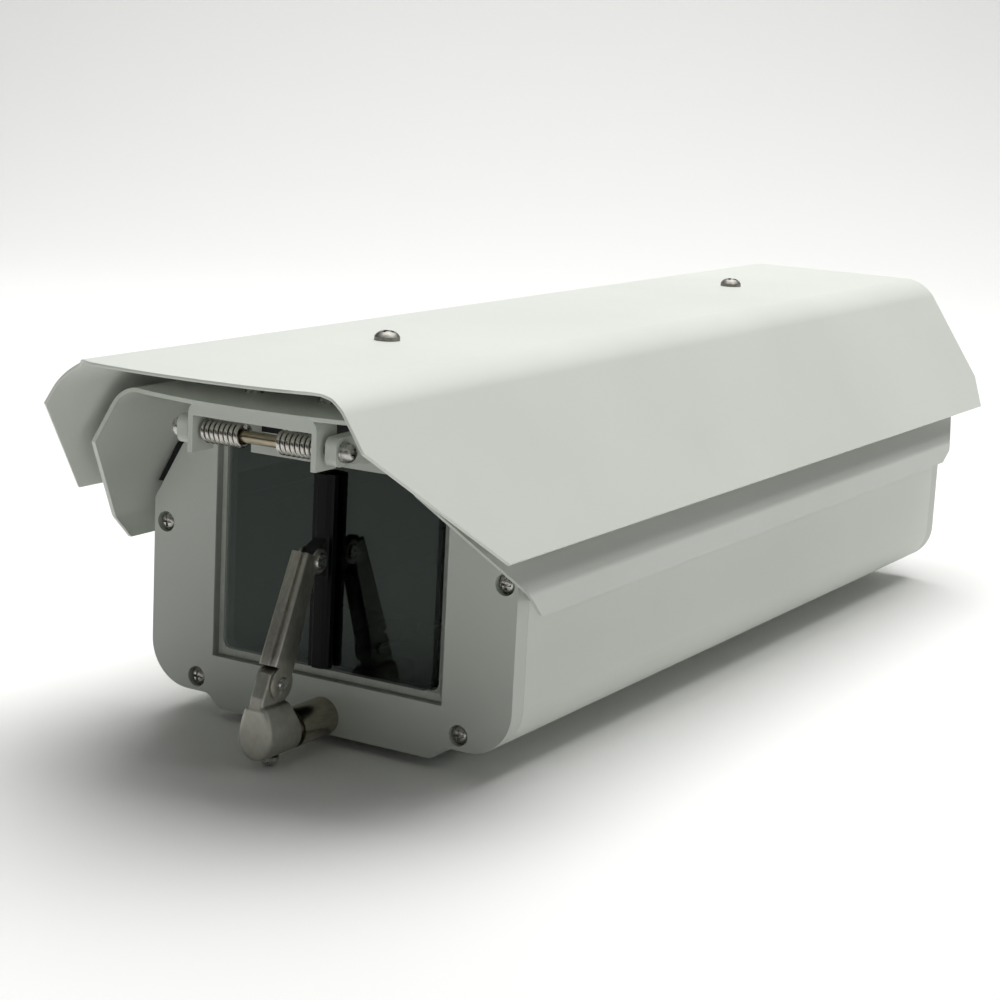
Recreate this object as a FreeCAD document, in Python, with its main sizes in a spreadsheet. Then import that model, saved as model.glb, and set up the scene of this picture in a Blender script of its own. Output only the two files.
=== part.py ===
import FreeCAD, Part
import math
import os
import re

import Sketcher
from FreeCAD import Placement, Rotation, Vector

# Security camera housing for outdoors: an extruded case between two end plates, a hinged sheet cover
# under a sun shield, and a wiper on the window.
# Frame: X to the right seen from the front, Y to the rear, Z up, millimetres. The origin is the centre
# of the four mounting holes, on the underside of the base rail.
SIZES = {
    # Case: extruded profile with a raised rail along its underside
    "case_length": 421.5,
    "case_half_width": 80,
    "wall": 3,
    "rim_height": 77.5,
    "corner_radius": 17.5,
    "rail_half_width": 47.7,
    "rail_height": 5.3,
    "rail_radius": 4,
    "channel_radius": 4,
    # End plates
    "plate_thickness": 8,
    "plate_shoulder_inset": 12.4,
    "plate_shoulder_rise": 21.6,
    "plate_top_inset": 28.8,
    "plate_top_gap": 3.5,
    "plate_top_radius": 9,
    "plate_side_radius": 4,
    "upper_screw_inset": 5.44,
    "upper_screw_drop": 8.9,
    "lower_screw_inset": 21.58,
    "lower_screw_z": 10.75,
    "plate_head_radius": 3.5,
    "plate_head_height": 2.6,
    "counterbore_radius": 3.9,
    "counterbore_depth": 3.2,
    "plate_screw_length": 18,
    "tap_radius": 1.65,
    "clear_radius": 2.2,
    # Window
    "window_side": 16.6,
    "window_bottom": 20.4,
    "window_head": 13.7,
    "rebate_depth": 3.6,
    "ledge": 3.7,
    "ledge_corner_radius": 3,
    "glass_thickness": 3,
    "gasket_thickness": 0.3,
    "glass_clearance": 0.3,
    # Seals
    "seal_thickness": 3.1,
    "seal_inset": 2,
    "rim_seal_thickness": 2,
    "rim_seal_depth": 15,
    # Cover: folded sheet with lips that hang outside the case
    "cover_sheet": 1.5,
    "cover_slope_run": 35.1,
    "cover_slope_rise": 58.1,
    "cover_side_gap": 7.6,
    "cover_crease_drop": 7.4,
    "cover_lip_height": 9.5,
    "cover_bend_radius": 14,
    "cover_crease_radius": 4,
    "cover_front": 49.8,
    "cover_nose": 7.6,
    "cover_nose_half_width": 52,
    "cover_kink_drop": 21.9,
    "cover_crease_front": 11.6,
    "cover_lip_front": 1.9,
    "cover_rear_kink_rise": 11,
    "cover_crease_rear": 17,
    "cover_lip_rear": 25,
    # Sun shield
    "shield_sheet": 1.2,
    "shield_top_inset": 2.9,
    "shield_gap": 13.6,
    "shield_side_margin": 2,
    "shield_drop": 59.1,
    "shield_bend_radius": 24,
    "shield_front": 78.9,
    "shield_nose": 92,
    "shield_nose_half_width": 34,
    "shield_nose_rise": 1,
    "shield_nose_radius": 17,
    "shield_shoulder_x": 48,
    "shield_kink_drop": 19,
    "shield_edge_front": 29.4,
    "shield_overhang": 32.5,
    "shield_rear_cut": 12.6,
    "shield_rear_cut_rise": 13,
    "shield_screw_front": 33.5,
    "shield_screw_margin": 89.3,
    "shield_screw_radius": 2.5,
    "shield_head_radius": 4.8,
    "shield_head_height": 3.4,
    "spacer_radius": 5.5,
    "shield_nut_flats": 8,
    "shield_nut_height": 4,
    # Hinge under the visor
    "pin_ahead": 41.9,
    "pin_drop": 11.4,
    "pin_radius": 2.25,
    "running_gap": 0.05,
    "lug_inner_x": 29,
    "lug_thickness": 4.6,
    "lug_reach": 4.4,
    "lug_half_height": 5,
    "lug_corner_radius": 3,
    "yoke_strip_thickness": 3,
    "yoke_drop": 9.7,
    "yoke_rise": 6.3,
    "yoke_screw_x": 16,
    "bracket_half_width": 27.1,
    "bracket_wall": 2.1,
    "bracket_front": 48.7,
    "bracket_leg_depth": 12.1,
    "bracket_leg_drop": 7.1,
    "bracket_flange": 5.4,
    "bracket_tail_thickness": 2.4,
    "bracket_tail": 18,
    "bracket_corner_radius": 5,
    "bracket_screw_x": 15.5,
    "bracket_screw_ahead": 26,
    "spring_radius": 3.45,
    "spring_wire": 0.85,
    "spring_inner_x": 6.6,
    "spring_turns": 8,
    "pin_screw_radius": 1.5,
    "pin_head_radius": 3.3,
    "pin_head_height": 3.4,
    "pin_washer_radius": 3.6,
    "pin_washer_thickness": 1.2,
    # Mounting holes in the rail and the steel plate above them
    "mount_spacing_x": 50,
    "mount_spacing_y": 90,
    "mount_hole_radius": 2.5,
    "base_plate_half_width": 38,
    "base_plate_half_length": 62,
    "base_plate_thickness": 4,
    # Wiper
    "shaft_z": 6.7,
    "shaft_radius": 2.5,
    "bushing_radius": 7.2,
    "bushing_length": 20.5,
    "bushing_collar_radius": 5.6,
    "bushing_neck_radius": 4.5,
    "head_front": 42.2,
    "head_back": 22.4,
    "head_radius": 7.1,
    "head_shoulder_half_width": 4.3,
    "ear_clearance": 0.7,
    "head_slope_z": 9.5,
    "head_edge_radius": 1.6,
    "arm_pivot_ahead": 31,
    "arm_pivot_height": 19.7,
    "blade_pivot_run": 20.9,
    "blade_pivot_rise": 41,
    "arm_lean": 25.04,
    "arm_web_depth": 7.48,
    "arm_foot_height": 4.67,
    "arm_bend_radius": 1.3,
    "arm_bead_radius": 1.2,
    "arm_bead_depth": 0.35,
    "arm_bead_offset": 0.9,
    "arm_tip_height": 0.7,
    "arm_half_width": 3.7,
    "arm_sheet": 0.8,
    "arm_ear_radius": 6.3,
    "arm_tip_ear_radius": 4.5,
    "arm_heel_depth": 12,
    "arm_toe_depth": 8,
    "side_gap": 0.1,
    "rivet_radius": 1.5,
    "arm_rivet_head_radius": 2.5,
    "blade_rivet_head_radius": 3.1,
    "rivet_head_height": 0.9,
    "blade_bottom_margin": 5.5,
    "blade_top_margin": 11.5,
    "blade_front": 5.1,
    "blade_half_width": 3.6,
    "blade_depth": 3.6,
    "lip_half_width": 0.55,
    "lip_gap": 0.3,
    "clip_half_height": 7,
    # Wiper drive inside the case
    "gearbox_half_width": 18,
    "gearbox_length": 24,
    "gearbox_bottom": 3.6,
    "gearbox_top": 24,
    "motor_radius": 10,
    "motor_length": 36,
    "motor_boss_length": 3,
    "gearbox_bore_depth": 13,
    "gearbox_corner_radius": 3,
    "drive_bracket_half_width": 32,
    "drive_bracket_bottom": 9.6,
    "drive_bracket_top": 20,
    "drive_bracket_thickness": 2,
    "drive_screw_x": 26,
    "drive_screw_z": 14.5,
    # Camera tray
    "tray_z": 36,
    "tray_thickness": 2,
    "tray_side_gap": 16,
    "tray_front": 42,
    "tray_rear_gap": 41.5,
    "tray_pillar_x": 40,
    "tray_pillar_front": 30,
    "tray_pillar_radius": 4,
    "tray_slot_half_width": 3.4,
    "tray_slot_start": 50,
    "tray_slot_end": 68,
    "tray_slot_pitch": 36,
    "camera_screw_radius": 3.1,
    "camera_knob_radius": 8,
    "camera_knob_height": 6,
    "camera_screw_length": 5,
    # Heater, circulation fan and terminal board
    "heater_gap": 10.75,
    "heater_length": 42,
    "heater_half_width": 30,
    "heater_base": 4,
    "heater_height": 16,
    "fin_thickness": 2,
    "fin_pitch": 8,
    "fan_rear_gap": 59.5,
    "fan_half_width": 20,
    "fan_depth": 10,
    "fan_hole_radius": 18.5,
    "fan_hub_radius": 8,
    "fan_blade_radius": 17.6,
    "fan_blade_count": 7,
    "board_gap": 12.25,
    "board_length": 56,
    "board_side_gap": 1,
    "board_thickness": 1.6,
    "board_z": 14,
    "board_pillar_radius": 3,
    "board_pillar_inset": 5,
    "terminal_half_width": 30,
    "terminal_depth": 10,
    "terminal_height": 11,
    "terminal_ways": 6,
    # Cable glands on the rear plate
    "gland_x": 34,
    "gland_z": 34,
    "gland_thread_radius": 10,
    "gland_flats": 24,
    "gland_flange": 6,
    "gland_neck": 9,
    "gland_bore": 5.5,
    "gland_nut_height": 5,
    "gland_cap_length": 20,
    # Rear lock: forked tab on the cover and a thumb knob on the rear plate
    "lock_drop": 19.2,
    "lock_stud_radius": 2.5,
    "lock_knob_radius": 10,
    "lock_knob_length": 12,
    "tab_half_width": 17,
    "tab_slot_clearance": 2,
    "tab_sheet": 2,
    "tab_reach": 9,
    "tab_flange_length": 22,
    "tab_screw_x": 11,
    "small_gap": 0.3,
    "seat_gap": 0.05,
    "small_screw_grip": 4,
    "tray_screw_grip": 8,
    "lock_gap": 0.9,
}

# Places and sizes that follow from others, as formulas of the sheet
DERIVED = {
    "upper_screw_x": "case_half_width - upper_screw_inset",
    "upper_screw_z": "rim_height - upper_screw_drop",
    "lower_screw_x": "case_half_width - lower_screw_inset",
    "cover_lip_x": "case_half_width + rim_seal_thickness + cover_side_gap + cover_sheet",
    "cover_top_x": "cover_lip_x - cover_slope_run",
    "cover_crease_z": "rim_height - cover_crease_drop",
    "cover_top_z": "cover_crease_z + cover_slope_rise",
    "cover_lip_z": "cover_crease_z - cover_lip_height",
    "cover_kink_z": "cover_top_z - cover_kink_drop",
    "cover_rear_kink_z": "cover_crease_z + cover_rear_kink_rise",
    "shield_top_z": "cover_top_z + shield_gap + shield_sheet",
    "shield_top_x": "cover_top_x - shield_top_inset",
    "shield_edge_x": "cover_lip_x + shield_side_margin",
    "shield_edge_z": "shield_top_z - shield_drop",
    "shield_kink_z": "shield_top_z - shield_kink_drop",
    "shield_rear_cut_z": "shield_edge_z + shield_rear_cut_rise",
    "shield_screw_rear": "case_length - shield_screw_margin",
    "plate_shoulder_x": "case_half_width - plate_shoulder_inset",
    "plate_shoulder_z": "rim_height + plate_shoulder_rise",
    "plate_top_x": "case_half_width - plate_top_inset",
    "plate_top_z": "cover_top_z - cover_sheet - plate_top_gap",
    "window_half_width": "plate_shoulder_x - window_side",
    "window_top": "plate_top_z - window_head",
    "pin_z": "cover_top_z - cover_sheet - pin_drop",
    "yoke_bottom": "pin_z - yoke_drop",
    "yoke_top": "pin_z + yoke_rise",
    "bracket_leg_bottom": "pin_z - bracket_leg_drop",
    "lock_z": "plate_top_z - lock_drop",
    "tab_bottom": "lock_z - tab_reach",
    "blade_top": "window_top - blade_top_margin",
    "blade_bottom": "window_bottom + blade_bottom_margin",
    "arm_pivot_z": "shaft_z + arm_pivot_height",
    "blade_pivot_ahead": "arm_pivot_ahead - blade_pivot_run",
    "blade_pivot_z": "arm_pivot_z + blade_pivot_rise",
    "arm_pivot_up": "blade_pivot_run * sin(arm_lean) + blade_pivot_rise * cos(arm_lean)",
    "arm_pivot_back": "blade_pivot_run * cos(arm_lean) - blade_pivot_rise * sin(arm_lean)",
    "head_shoulder_z": "arm_pivot_z - arm_ear_radius - ear_clearance",
    "tray_half_width": "case_half_width - tray_side_gap",
    "tray_length": "case_length - tray_front - tray_rear_gap",
    "tray_slot_length": "tray_length - tray_slot_start - tray_slot_end",
    "heater_front": "case_length / 2 - base_plate_half_length - heater_gap - heater_length",
    "fan_front": "case_length - fan_rear_gap - fan_depth",
    "board_front": "case_length / 2 + base_plate_half_length + board_gap",
    "board_half_width": "tray_pillar_x - tray_pillar_radius - board_side_gap",
}

PLANES = {"X": "YZ_Plane", "Y": "XZ_Plane", "Z": "XY_Plane"}
NORMALS = {"X": Vector(1, 0, 0), "Y": Vector(0, 1, 0), "Z": Vector(0, 0, 1)}
SIDES = {"left": -1, "right": 1}

# Places that several pieces share, written in the words of the sheet
FRONT = "(-case_length / 2)"
BACK = "(case_length / 2)"
FLOOR = "(rail_height + wall)"
RAIL_TOE = "(rail_half_width + rail_height)"
PIN_Y = f"({FRONT} - pin_ahead)"
COVER_UNDERSIDE = "(cover_top_z - cover_sheet)"
SHIELD_UNDERSIDE = "(shield_top_z - shield_sheet)"
GLASS_FRONT = f"({FRONT} + rebate_depth - gasket_thickness - glass_thickness)"
LUG_OUTER = "(lug_inner_x + lug_thickness)"
PLATE_SCREWS = [(f"{sign} * {x}", z) for x, z in (("upper_screw_x", "upper_screw_z"),
                                                  ("lower_screw_x", "lower_screw_z")) for sign in (-1, 1)]
MOUNT_HOLES = [(f"{i} * mount_spacing_x / 2", f"{j} * mount_spacing_y / 2") for i in (-1, 1) for j in (-1, 1)]
COVER_RUN = "(cover_lip_x - cover_top_x)"
COVER_RISE = "(cover_top_z - cover_crease_z)"
SHIELD_RUN = "(shield_edge_x - shield_top_x)"
SHIELD_RISE = "(shield_top_z - shield_edge_z)"
BRACKET_SCREWS = [(f"{sign} * bracket_screw_x", f"{FRONT} - bracket_screw_ahead") for sign in (-1, 1)]
SHIELD_SCREWS = [("0", f"{FRONT} + shield_screw_front"), ("0", f"{FRONT} + shield_screw_rear")]
TAB_SCREW_Y = f"({BACK} - tab_flange_length / 2)"
TAB_SCREWS = [(f"{sign} * tab_screw_x", TAB_SCREW_Y) for sign in (-1, 1)]
TRAY_PILLARS = [(f"{sign} * tray_pillar_x", f"{FRONT} + tray_front + {y}")
                for y in ("tray_pillar_front", "tray_length - tray_pillar_front") for sign in (-1, 1)]
BOARD_PILLARS = [(f"{sign} * (board_half_width - board_pillar_inset)", f"{FRONT} + board_front + {y}")
                 for y in ("board_pillar_inset", "board_length - board_pillar_inset") for sign in (-1, 1)]

doc = FreeCAD.newDocument("camera_housing")
sheet = doc.addObject("Spreadsheet::Sheet", "Sizes")
nodes = []
words = {*SIZES, *DERIVED}


def fill_sheet():
    rows = {**SIZES, **DERIVED}
    for row, alias in enumerate(rows, start=1):
        sheet.set(f"A{row}", alias.replace("_", " "))
        sheet.setAlias(f"B{row}", alias)
    for row, (alias, value) in enumerate(rows.items(), start=1):
        sheet.set(f"B{row}", f"={value}" if alias in DERIVED else str(value))
    doc.recompute()


def bound(expression):
    """The expression with the sheet's name before each of its words."""
    return re.sub(r"[a-z][a-z_]*", lambda m: f"Sizes.{m[0]}" if m[0] in words else m[0], str(expression))


def size(expression):
    return float(sheet.evalExpression(bound(expression)))


def new_body(label):
    body = doc.addObject("PartDesign::Body", label)
    body.Label = label
    nodes.append(body)
    return body


def add_shape(label, shape, place=None):
    feature = doc.addObject("Part::Feature", label)
    feature.Label = label
    feature.Shape = shape
    if place:
        feature.Placement = place
    nodes.append(feature)
    return feature


def disc(x, y, radius):
    return ("disc", x, y, radius)


def outline(corners, arcs=None):
    """Corners in order. arcs gives a side's number its radius, and 1 or -1 for a centre left or right."""
    return ("outline", corners, arcs or {})


def rectangle(x_low, x_high, y_low, y_high):
    return outline([(x_low, y_low), (x_high, y_low), (x_high, y_high), (x_low, y_high)])


def mirrored(half):
    """The half outline on the right, then the same corners on the left in return order."""
    return half + [(f"-({x})", y) for x, y in reversed(half)]


def fix_length(sketch, kind, places, expression):
    index = sketch.addConstraint(Sketcher.Constraint(kind, *places, size(expression)))
    sketch.setExpression(f"Constraints[{index}]", bound(expression))


def arc_side(start, end, radius, side):
    middle = (start + end) * 0.5
    chord = end - start
    rise = math.sqrt(max(radius ** 2 - (chord.Length / 2) ** 2, 0))
    left = Vector(-chord.y, chord.x, 0).normalize()
    centre = middle + left * rise * side
    first, last = (start, end) if side > 0 else (end, start)
    angles = [math.atan2(p.y - centre.y, p.x - centre.x) for p in (first, last)]
    if angles[1] < angles[0]:
        angles[1] += 2 * math.pi
    return Part.ArcOfCircle(Part.Circle(centre, Vector(0, 0, 1), radius), *angles)


def draw_outline(sketch, corners, arcs):
    points = [Vector(size(x), size(y), 0) for x, y in corners]
    ends = []
    for number, start in enumerate(points):
        end = points[(number + 1) % len(points)]
        if number in arcs:
            radius, side = arcs[number]
            side_index = sketch.addGeometry(arc_side(start, end, size(radius), side), False)
            fix_length(sketch, "Radius", [side_index], radius)
            ends.append((side_index, 1, 2) if side > 0 else (side_index, 2, 1))
        else:
            side_index = sketch.addGeometry(Part.LineSegment(start, end), False)
            ends.append((side_index, 1, 2))
    for number, (side_index, first, last) in enumerate(ends):
        following = ends[(number + 1) % len(ends)]
        sketch.addConstraint(Sketcher.Constraint("Coincident", side_index, last, following[0], following[1]))
        fix_length(sketch, "DistanceX", [-1, 1, side_index, first], corners[number][0])
        fix_length(sketch, "DistanceY", [-1, 1, side_index, first], corners[number][1])


def draw_disc(sketch, x, y, radius):
    circle = Part.Circle(Vector(size(x), size(y), 0), Vector(0, 0, 1), size(radius))
    index = sketch.addGeometry(circle, False)
    fix_length(sketch, "Radius", [index], radius)
    fix_length(sketch, "DistanceX", [-1, 1, index, 3], x)
    fix_length(sketch, "DistanceY", [-1, 1, index, 3], y)


def draw(body, axis, at, loops):
    """A sketch across the axis. Its own x and y are the other two axes, in the order X, Y, Z."""
    sketch = body.newObject("Sketcher::SketchObject", f"{body.Name}_sketch")
    plane = [item for item in body.Origin.OriginFeatures if item.Role == PLANES[axis]][0]
    sketch.AttachmentSupport = [(plane, "")]
    sketch.MapMode = "FlatFace"
    sign = "-" if axis == "Y" else ""
    sketch.setExpression("AttachmentOffset.Base.z", bound(f"{sign}({at})"))
    for loop in loops:
        {"outline": draw_outline, "disc": draw_disc}[loop[0]](sketch, *loop[1:])
    return sketch


def grow(body, axis, at, length, *loops):
    """Adds what the loops enclose, from at along the axis for length."""
    pad = body.newObject("PartDesign::Pad", f"{body.Name}_pad")
    pad.Profile = draw(body, axis, at, loops)
    pad.setExpression("Length", bound(length))
    pad.Reversed = axis == "Y"
    doc.recompute()
    return pad


def carve(body, axis, at, length, *loops):
    """Cuts what the loops enclose, from at along the axis for length."""
    before = body.Shape.Volume
    pocket = body.newObject("PartDesign::Pocket", f"{body.Name}_pocket")
    pocket.Profile = draw(body, axis, at, loops)
    pocket.setExpression("Length", bound(length))
    pocket.Reversed = axis != "Y"
    doc.recompute()
    if not body.Shape.Volume < before - 1e-6:
        raise RuntimeError(f"{body.Label}: a cut removed nothing")
    return pocket


def turn(body, axis, corners):
    """A solid of revolution about the axis, from corners given as (along, radius)."""
    swapped = [(radius, along) for along, radius in corners]
    plane = {"X": "Y", "Y": "X", "Z": "Y"}[axis]
    profile = outline(swapped if axis == "Z" else corners)
    sketch = draw(body, plane, "0", [profile])
    revolution = body.newObject("PartDesign::Revolution", f"{body.Name}_turned")
    revolution.Profile = sketch
    revolution.ReferenceAxis = (sketch, ["V_Axis" if axis == "Z" else "H_Axis"])
    revolution.Angle = 360
    doc.recompute()
    return revolution


def soften(body, radius, axis, *places, kind="PartDesign::Fillet"):
    """Rounds or bevels the straight edges along the axis that run through the given places."""
    across = [letter for letter in "XYZ" if letter != axis]
    wanted = [(size(a), size(b)) for a, b in places]
    names = []
    for number, edge in enumerate(body.Shape.Edges, start=1):
        if not isinstance(edge.Curve, (Part.Line, Part.LineSegment)):
            continue
        direction = edge.Vertexes[-1].Point - edge.Vertexes[0].Point
        if direction.normalize().cross(NORMALS[axis]).Length > 1e-6:
            continue
        centre = edge.CenterOfMass
        here = [getattr(centre, letter.lower()) for letter in across]
        if any(math.dist(here, place) < 0.02 for place in wanted):
            names.append(f"Edge{number}")
    if not names:
        raise RuntimeError(f"{body.Label}: no edge to soften")
    feature = body.newObject(kind, f"{body.Name}_soft")
    feature.Base = (body.Tip if body.Tip != feature else feature.BaseFeature, names)
    feature.setExpression("Radius" if kind.endswith("Fillet") else "Size", bound(radius))
    doc.recompute()
    return feature


def soften_rim(body, radius, axis, at):
    """Rounds every edge of the flat face that lies across the axis at the given place."""
    place = size(at)
    names = []
    for number, edge in enumerate(body.Shape.Edges, start=1):
        box = edge.BoundBox
        ends = getattr(box, f"{axis}Min"), getattr(box, f"{axis}Max")
        if all(abs(end - place) < 0.01 for end in ends):
            names.append(f"Edge{number}")
    feature = body.newObject("PartDesign::Fillet", f"{body.Name}_rim")
    feature.Base = (feature.BaseFeature, names)
    feature.setExpression("Radius", bound(radius))
    doc.recompute()


def move_body(body, x="0", y="0", z="0"):
    for letter, place in zip("xyz", (x, y, z)):
        body.setExpression(f"Placement.Base.{letter}", bound(place))


def aim(shape, point, direction):
    """A copy of a shape made along +Z, with its origin at the point and its +Z along the direction."""
    copy = shape.copy()
    copy.Placement = Placement(Vector(*point), Rotation(Vector(0, 0, 1), direction))
    return copy


def pan_screw(shank_radius, length, head_radius, head_height):
    """Pan head above z = 0 with a cross recess, and a plain shank below."""
    brim = head_height * 0.4
    edges = [Part.LineSegment(Vector(0, 0, -length), Vector(shank_radius, 0, -length)),
             Part.LineSegment(Vector(shank_radius, 0, -length), Vector(shank_radius, 0, 0)),
             Part.LineSegment(Vector(shank_radius, 0, 0), Vector(head_radius, 0, 0)),
             Part.LineSegment(Vector(head_radius, 0, 0), Vector(head_radius, 0, brim)),
             Part.Arc(Vector(head_radius, 0, brim),
                      Vector(head_radius * 0.72, 0, brim + (head_height - brim) * 0.72),
                      Vector(0, 0, head_height)),
             Part.LineSegment(Vector(0, 0, head_height), Vector(0, 0, -length))]
    solid = Part.Face(Part.Wire([edge.toShape() for edge in edges])).revolve(
        Vector(0, 0, 0), Vector(0, 0, 1), 360)
    arm, slot, depth = head_radius * 0.58, head_radius * 0.16, head_height * 0.55
    for half_x, half_y in ((arm, slot), (slot, arm)):
        recess = Part.makeBox(2 * half_x, 2 * half_y, depth + 1, Vector(-half_x, -half_y, head_height - depth))
        solid = solid.cut(recess)
    return solid


def hexagon(flats, height, bore):
    corner = flats / math.sqrt(3)
    points = [Vector(corner * math.cos(math.radians(60 * k)), corner * math.sin(math.radians(60 * k)), 0)
              for k in range(7)]
    prism = Part.Face(Part.makePolygon(points)).extrude(Vector(0, 0, height))
    return prism.cut(Part.makeCylinder(bore, height)) if bore else prism


def group(label, shape, places, direction):
    """One node of identical separate solids."""
    copies = [aim(shape, [size(value) for value in place], direction) for place in places]
    return add_shape(label, Part.makeCompound(copies))


def plate_outline():
    return outline(mirrored([("rail_half_width", "0"), (RAIL_TOE, "rail_height"),
                             ("case_half_width", "rail_height"), ("case_half_width", "rim_height"),
                             ("plate_shoulder_x", "plate_shoulder_z"), ("plate_top_x", "plate_top_z")]))


def both_sides(x, y):
    return [(x, y), (f"-({x})", y)]


def make_case():
    body = new_body("case_body")
    start = f"{FRONT} + plate_thickness"
    length = "case_length - 2 * plate_thickness"
    outer = mirrored([("rail_half_width", "0"), (RAIL_TOE, "rail_height"),
                      ("case_half_width", "rail_height"), ("case_half_width", "rim_height")])
    shift = "0.414 * wall"
    inner = mirrored([(f"rail_half_width - {shift}", "wall"), (f"{RAIL_TOE} - {shift}", FLOOR),
                      ("case_half_width - corner_radius", FLOOR),
                      ("case_half_width - wall", "rail_height + corner_radius"),
                      ("case_half_width - wall", "rim_height + wall")])
    round_side = ("corner_radius - wall", 1)
    grow(body, "Y", start, length, outline(outer))
    soften(body, "corner_radius", "Y", *both_sides("case_half_width", "rail_height"))
    soften(body, "rail_radius", "Y", *both_sides("rail_half_width", "0"), *both_sides(RAIL_TOE, "rail_height"))
    carve(body, "Y", start, length, outline(inner, {2: round_side, 6: round_side}))
    channels = [disc(x, z, "channel_radius") for x, z in PLATE_SCREWS]
    grow(body, "Y", start, length, *channels)
    taps = [disc(x, z, "tap_radius") for x, z in PLATE_SCREWS]
    carve(body, "Y", start, "plate_screw_length", *taps)
    carve(body, "Y", f"{BACK} - plate_thickness - plate_screw_length", "plate_screw_length", *taps)
    holes = [disc(x, y, "mount_hole_radius") for x, y in MOUNT_HOLES]
    carve(body, "Z", "-wall", "3 * wall", *holes)


def make_plate(label, at, screw_mouth):
    body = new_body(label)
    grow(body, "Y", at, "plate_thickness", plate_outline())
    soften(body, "corner_radius", "Y", *both_sides("case_half_width", "rail_height"))
    soften(body, "rail_radius", "Y", *both_sides("rail_half_width", "0"), *both_sides(RAIL_TOE, "rail_height"))
    soften(body, "plate_side_radius", "Y", *both_sides("case_half_width", "rim_height"))
    soften(body, "plate_top_radius", "Y", *both_sides("plate_top_x", "plate_top_z"))
    carve(body, "Y", at, "plate_thickness", *[disc(x, z, "clear_radius") for x, z in PLATE_SCREWS])
    carve(body, "Y", screw_mouth, "counterbore_depth", *[disc(x, z, "counterbore_radius") for x, z in PLATE_SCREWS])
    return body


def make_front_plate():
    body = make_plate("front_plate", FRONT, FRONT)
    carve(body, "Y", FRONT, "rebate_depth",
          rectangle("-window_half_width", "window_half_width", "window_bottom", "window_top"))
    ledge_x = "window_half_width - ledge"
    low, high = "window_bottom + ledge", "window_top - ledge"
    carve(body, "Y", FRONT, "plate_thickness", rectangle(f"-({ledge_x})", ledge_x, low, high))
    soften(body, "ledge_corner_radius", "Y", *both_sides(ledge_x, low), *both_sides(ledge_x, high))
    carve(body, "Y", FRONT, "plate_thickness", disc("0", "shaft_z", "bushing_neck_radius + seat_gap"))
    tapped = [disc(f"{sign} * yoke_screw_x", "(yoke_bottom + yoke_top) / 2", "tap_radius") for sign in (-1, 1)]
    carve(body, "Y", FRONT, "plate_thickness", *tapped)
    drive = [disc(f"{sign} * drive_screw_x", "drive_screw_z", "tap_radius") for sign in (-1, 1)]
    carve(body, "Y", f"{FRONT} + 3", "plate_thickness - 3", *drive)


def make_rear_plate():
    at = f"{BACK} - plate_thickness"
    body = make_plate("rear_plate", at, f"{BACK} - counterbore_depth")
    carve(body, "Y", at, "plate_thickness",
          *[disc(f"{sign} * gland_x", "gland_z", "gland_thread_radius + running_gap") for sign in (-1, 1)],
          disc("0", "lock_z", "lock_stud_radius + running_gap"))


def make_plate_screws():
    length = size("plate_thickness - counterbore_depth + plate_screw_length - small_screw_grip")
    screw = pan_screw(size("tap_radius"), length, size("plate_head_radius"), size("plate_head_height"))
    group("front_plate_screws", screw, [(x, f"{FRONT} + counterbore_depth", z) for x, z in PLATE_SCREWS],
          Vector(0, -1, 0))
    group("rear_plate_screws", screw, [(x, f"{BACK} - counterbore_depth", z) for x, z in PLATE_SCREWS],
          Vector(0, 1, 0))


def make_window():
    gasket = new_body("window_gasket")
    side = "window_half_width - glass_clearance"
    low, high = "window_bottom + glass_clearance", "window_top - glass_clearance"
    seat = f"{FRONT} + rebate_depth - gasket_thickness"
    grow(gasket, "Y", seat, "gasket_thickness", rectangle(f"-({side})", side, low, high))
    hole = "window_half_width - ledge + 0.5"
    carve(gasket, "Y", seat, "gasket_thickness",
          rectangle(f"-({hole})", hole, "window_bottom + ledge - 0.5", "window_top - ledge + 0.5"))
    glass = new_body("window_glass")
    grow(glass, "Y", GLASS_FRONT, "glass_thickness", rectangle(f"-({side})", side, low, high))


def make_rim_seals():
    for side, sign in SIDES.items():
        body = new_body(f"rim_seal_{side}")
        outer = f"{sign} * (case_half_width + rim_seal_thickness)"
        corners = [(f"{sign} * case_half_width", "rim_height - rim_seal_depth"),
                   (outer, "rim_height - rim_seal_depth"), (outer, "rim_height - 0.5"),
                   (f"{sign} * (case_half_width + 0.6)", "rim_height + rim_seal_thickness"),
                   (f"{sign} * (case_half_width - wall)", "rim_height + rim_seal_thickness"),
                   (f"{sign} * (case_half_width - wall)", "rim_height"),
                   (f"{sign} * case_half_width", "rim_height")]
        grow(body, "Y", f"{FRONT} + plate_thickness", "case_length - 2 * plate_thickness", outline(corners))


def make_plate_seal(label, at):
    """A rubber band that follows the shoulders and top edge of an end plate."""
    body = new_body(label)
    fall = "(plate_shoulder_z - rim_height)"
    run = "(case_half_width - plate_shoulder_x)"
    foot_z = "rim_height + 6"
    foot_x = f"case_half_width - 6 * {run} / {fall}"
    thick = "seal_thickness"
    out = f"{thick} * sqrt({run} * {run} + {fall} * {fall}) / {fall}"
    inner = [(foot_x, foot_z), ("plate_shoulder_x", "plate_shoulder_z"), ("plate_top_x", "plate_top_z")]
    outer = [(f"{foot_x} + {out}", foot_z), (f"plate_shoulder_x + {out}", f"plate_shoulder_z + 0.1 * {thick}"),
             (f"plate_top_x + 0.53 * {thick}", f"plate_top_z + {thick}")]
    flipped = [(f"-({x})", z) for x, z in inner]
    corners = outer + [(f"-({x})", z) for x, z in reversed(outer)] + flipped + list(reversed(inner))
    grow(body, "Y", f"{at} + seal_inset", "plate_thickness - 2 * seal_inset", outline(corners))
    soften(body, "plate_top_radius", "Y", *both_sides("plate_top_x", "plate_top_z"))
    soften(body, f"plate_top_radius + {thick}", "Y",
           *both_sides(f"plate_top_x + 0.53 * {thick}", f"plate_top_z + {thick}"))


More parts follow.
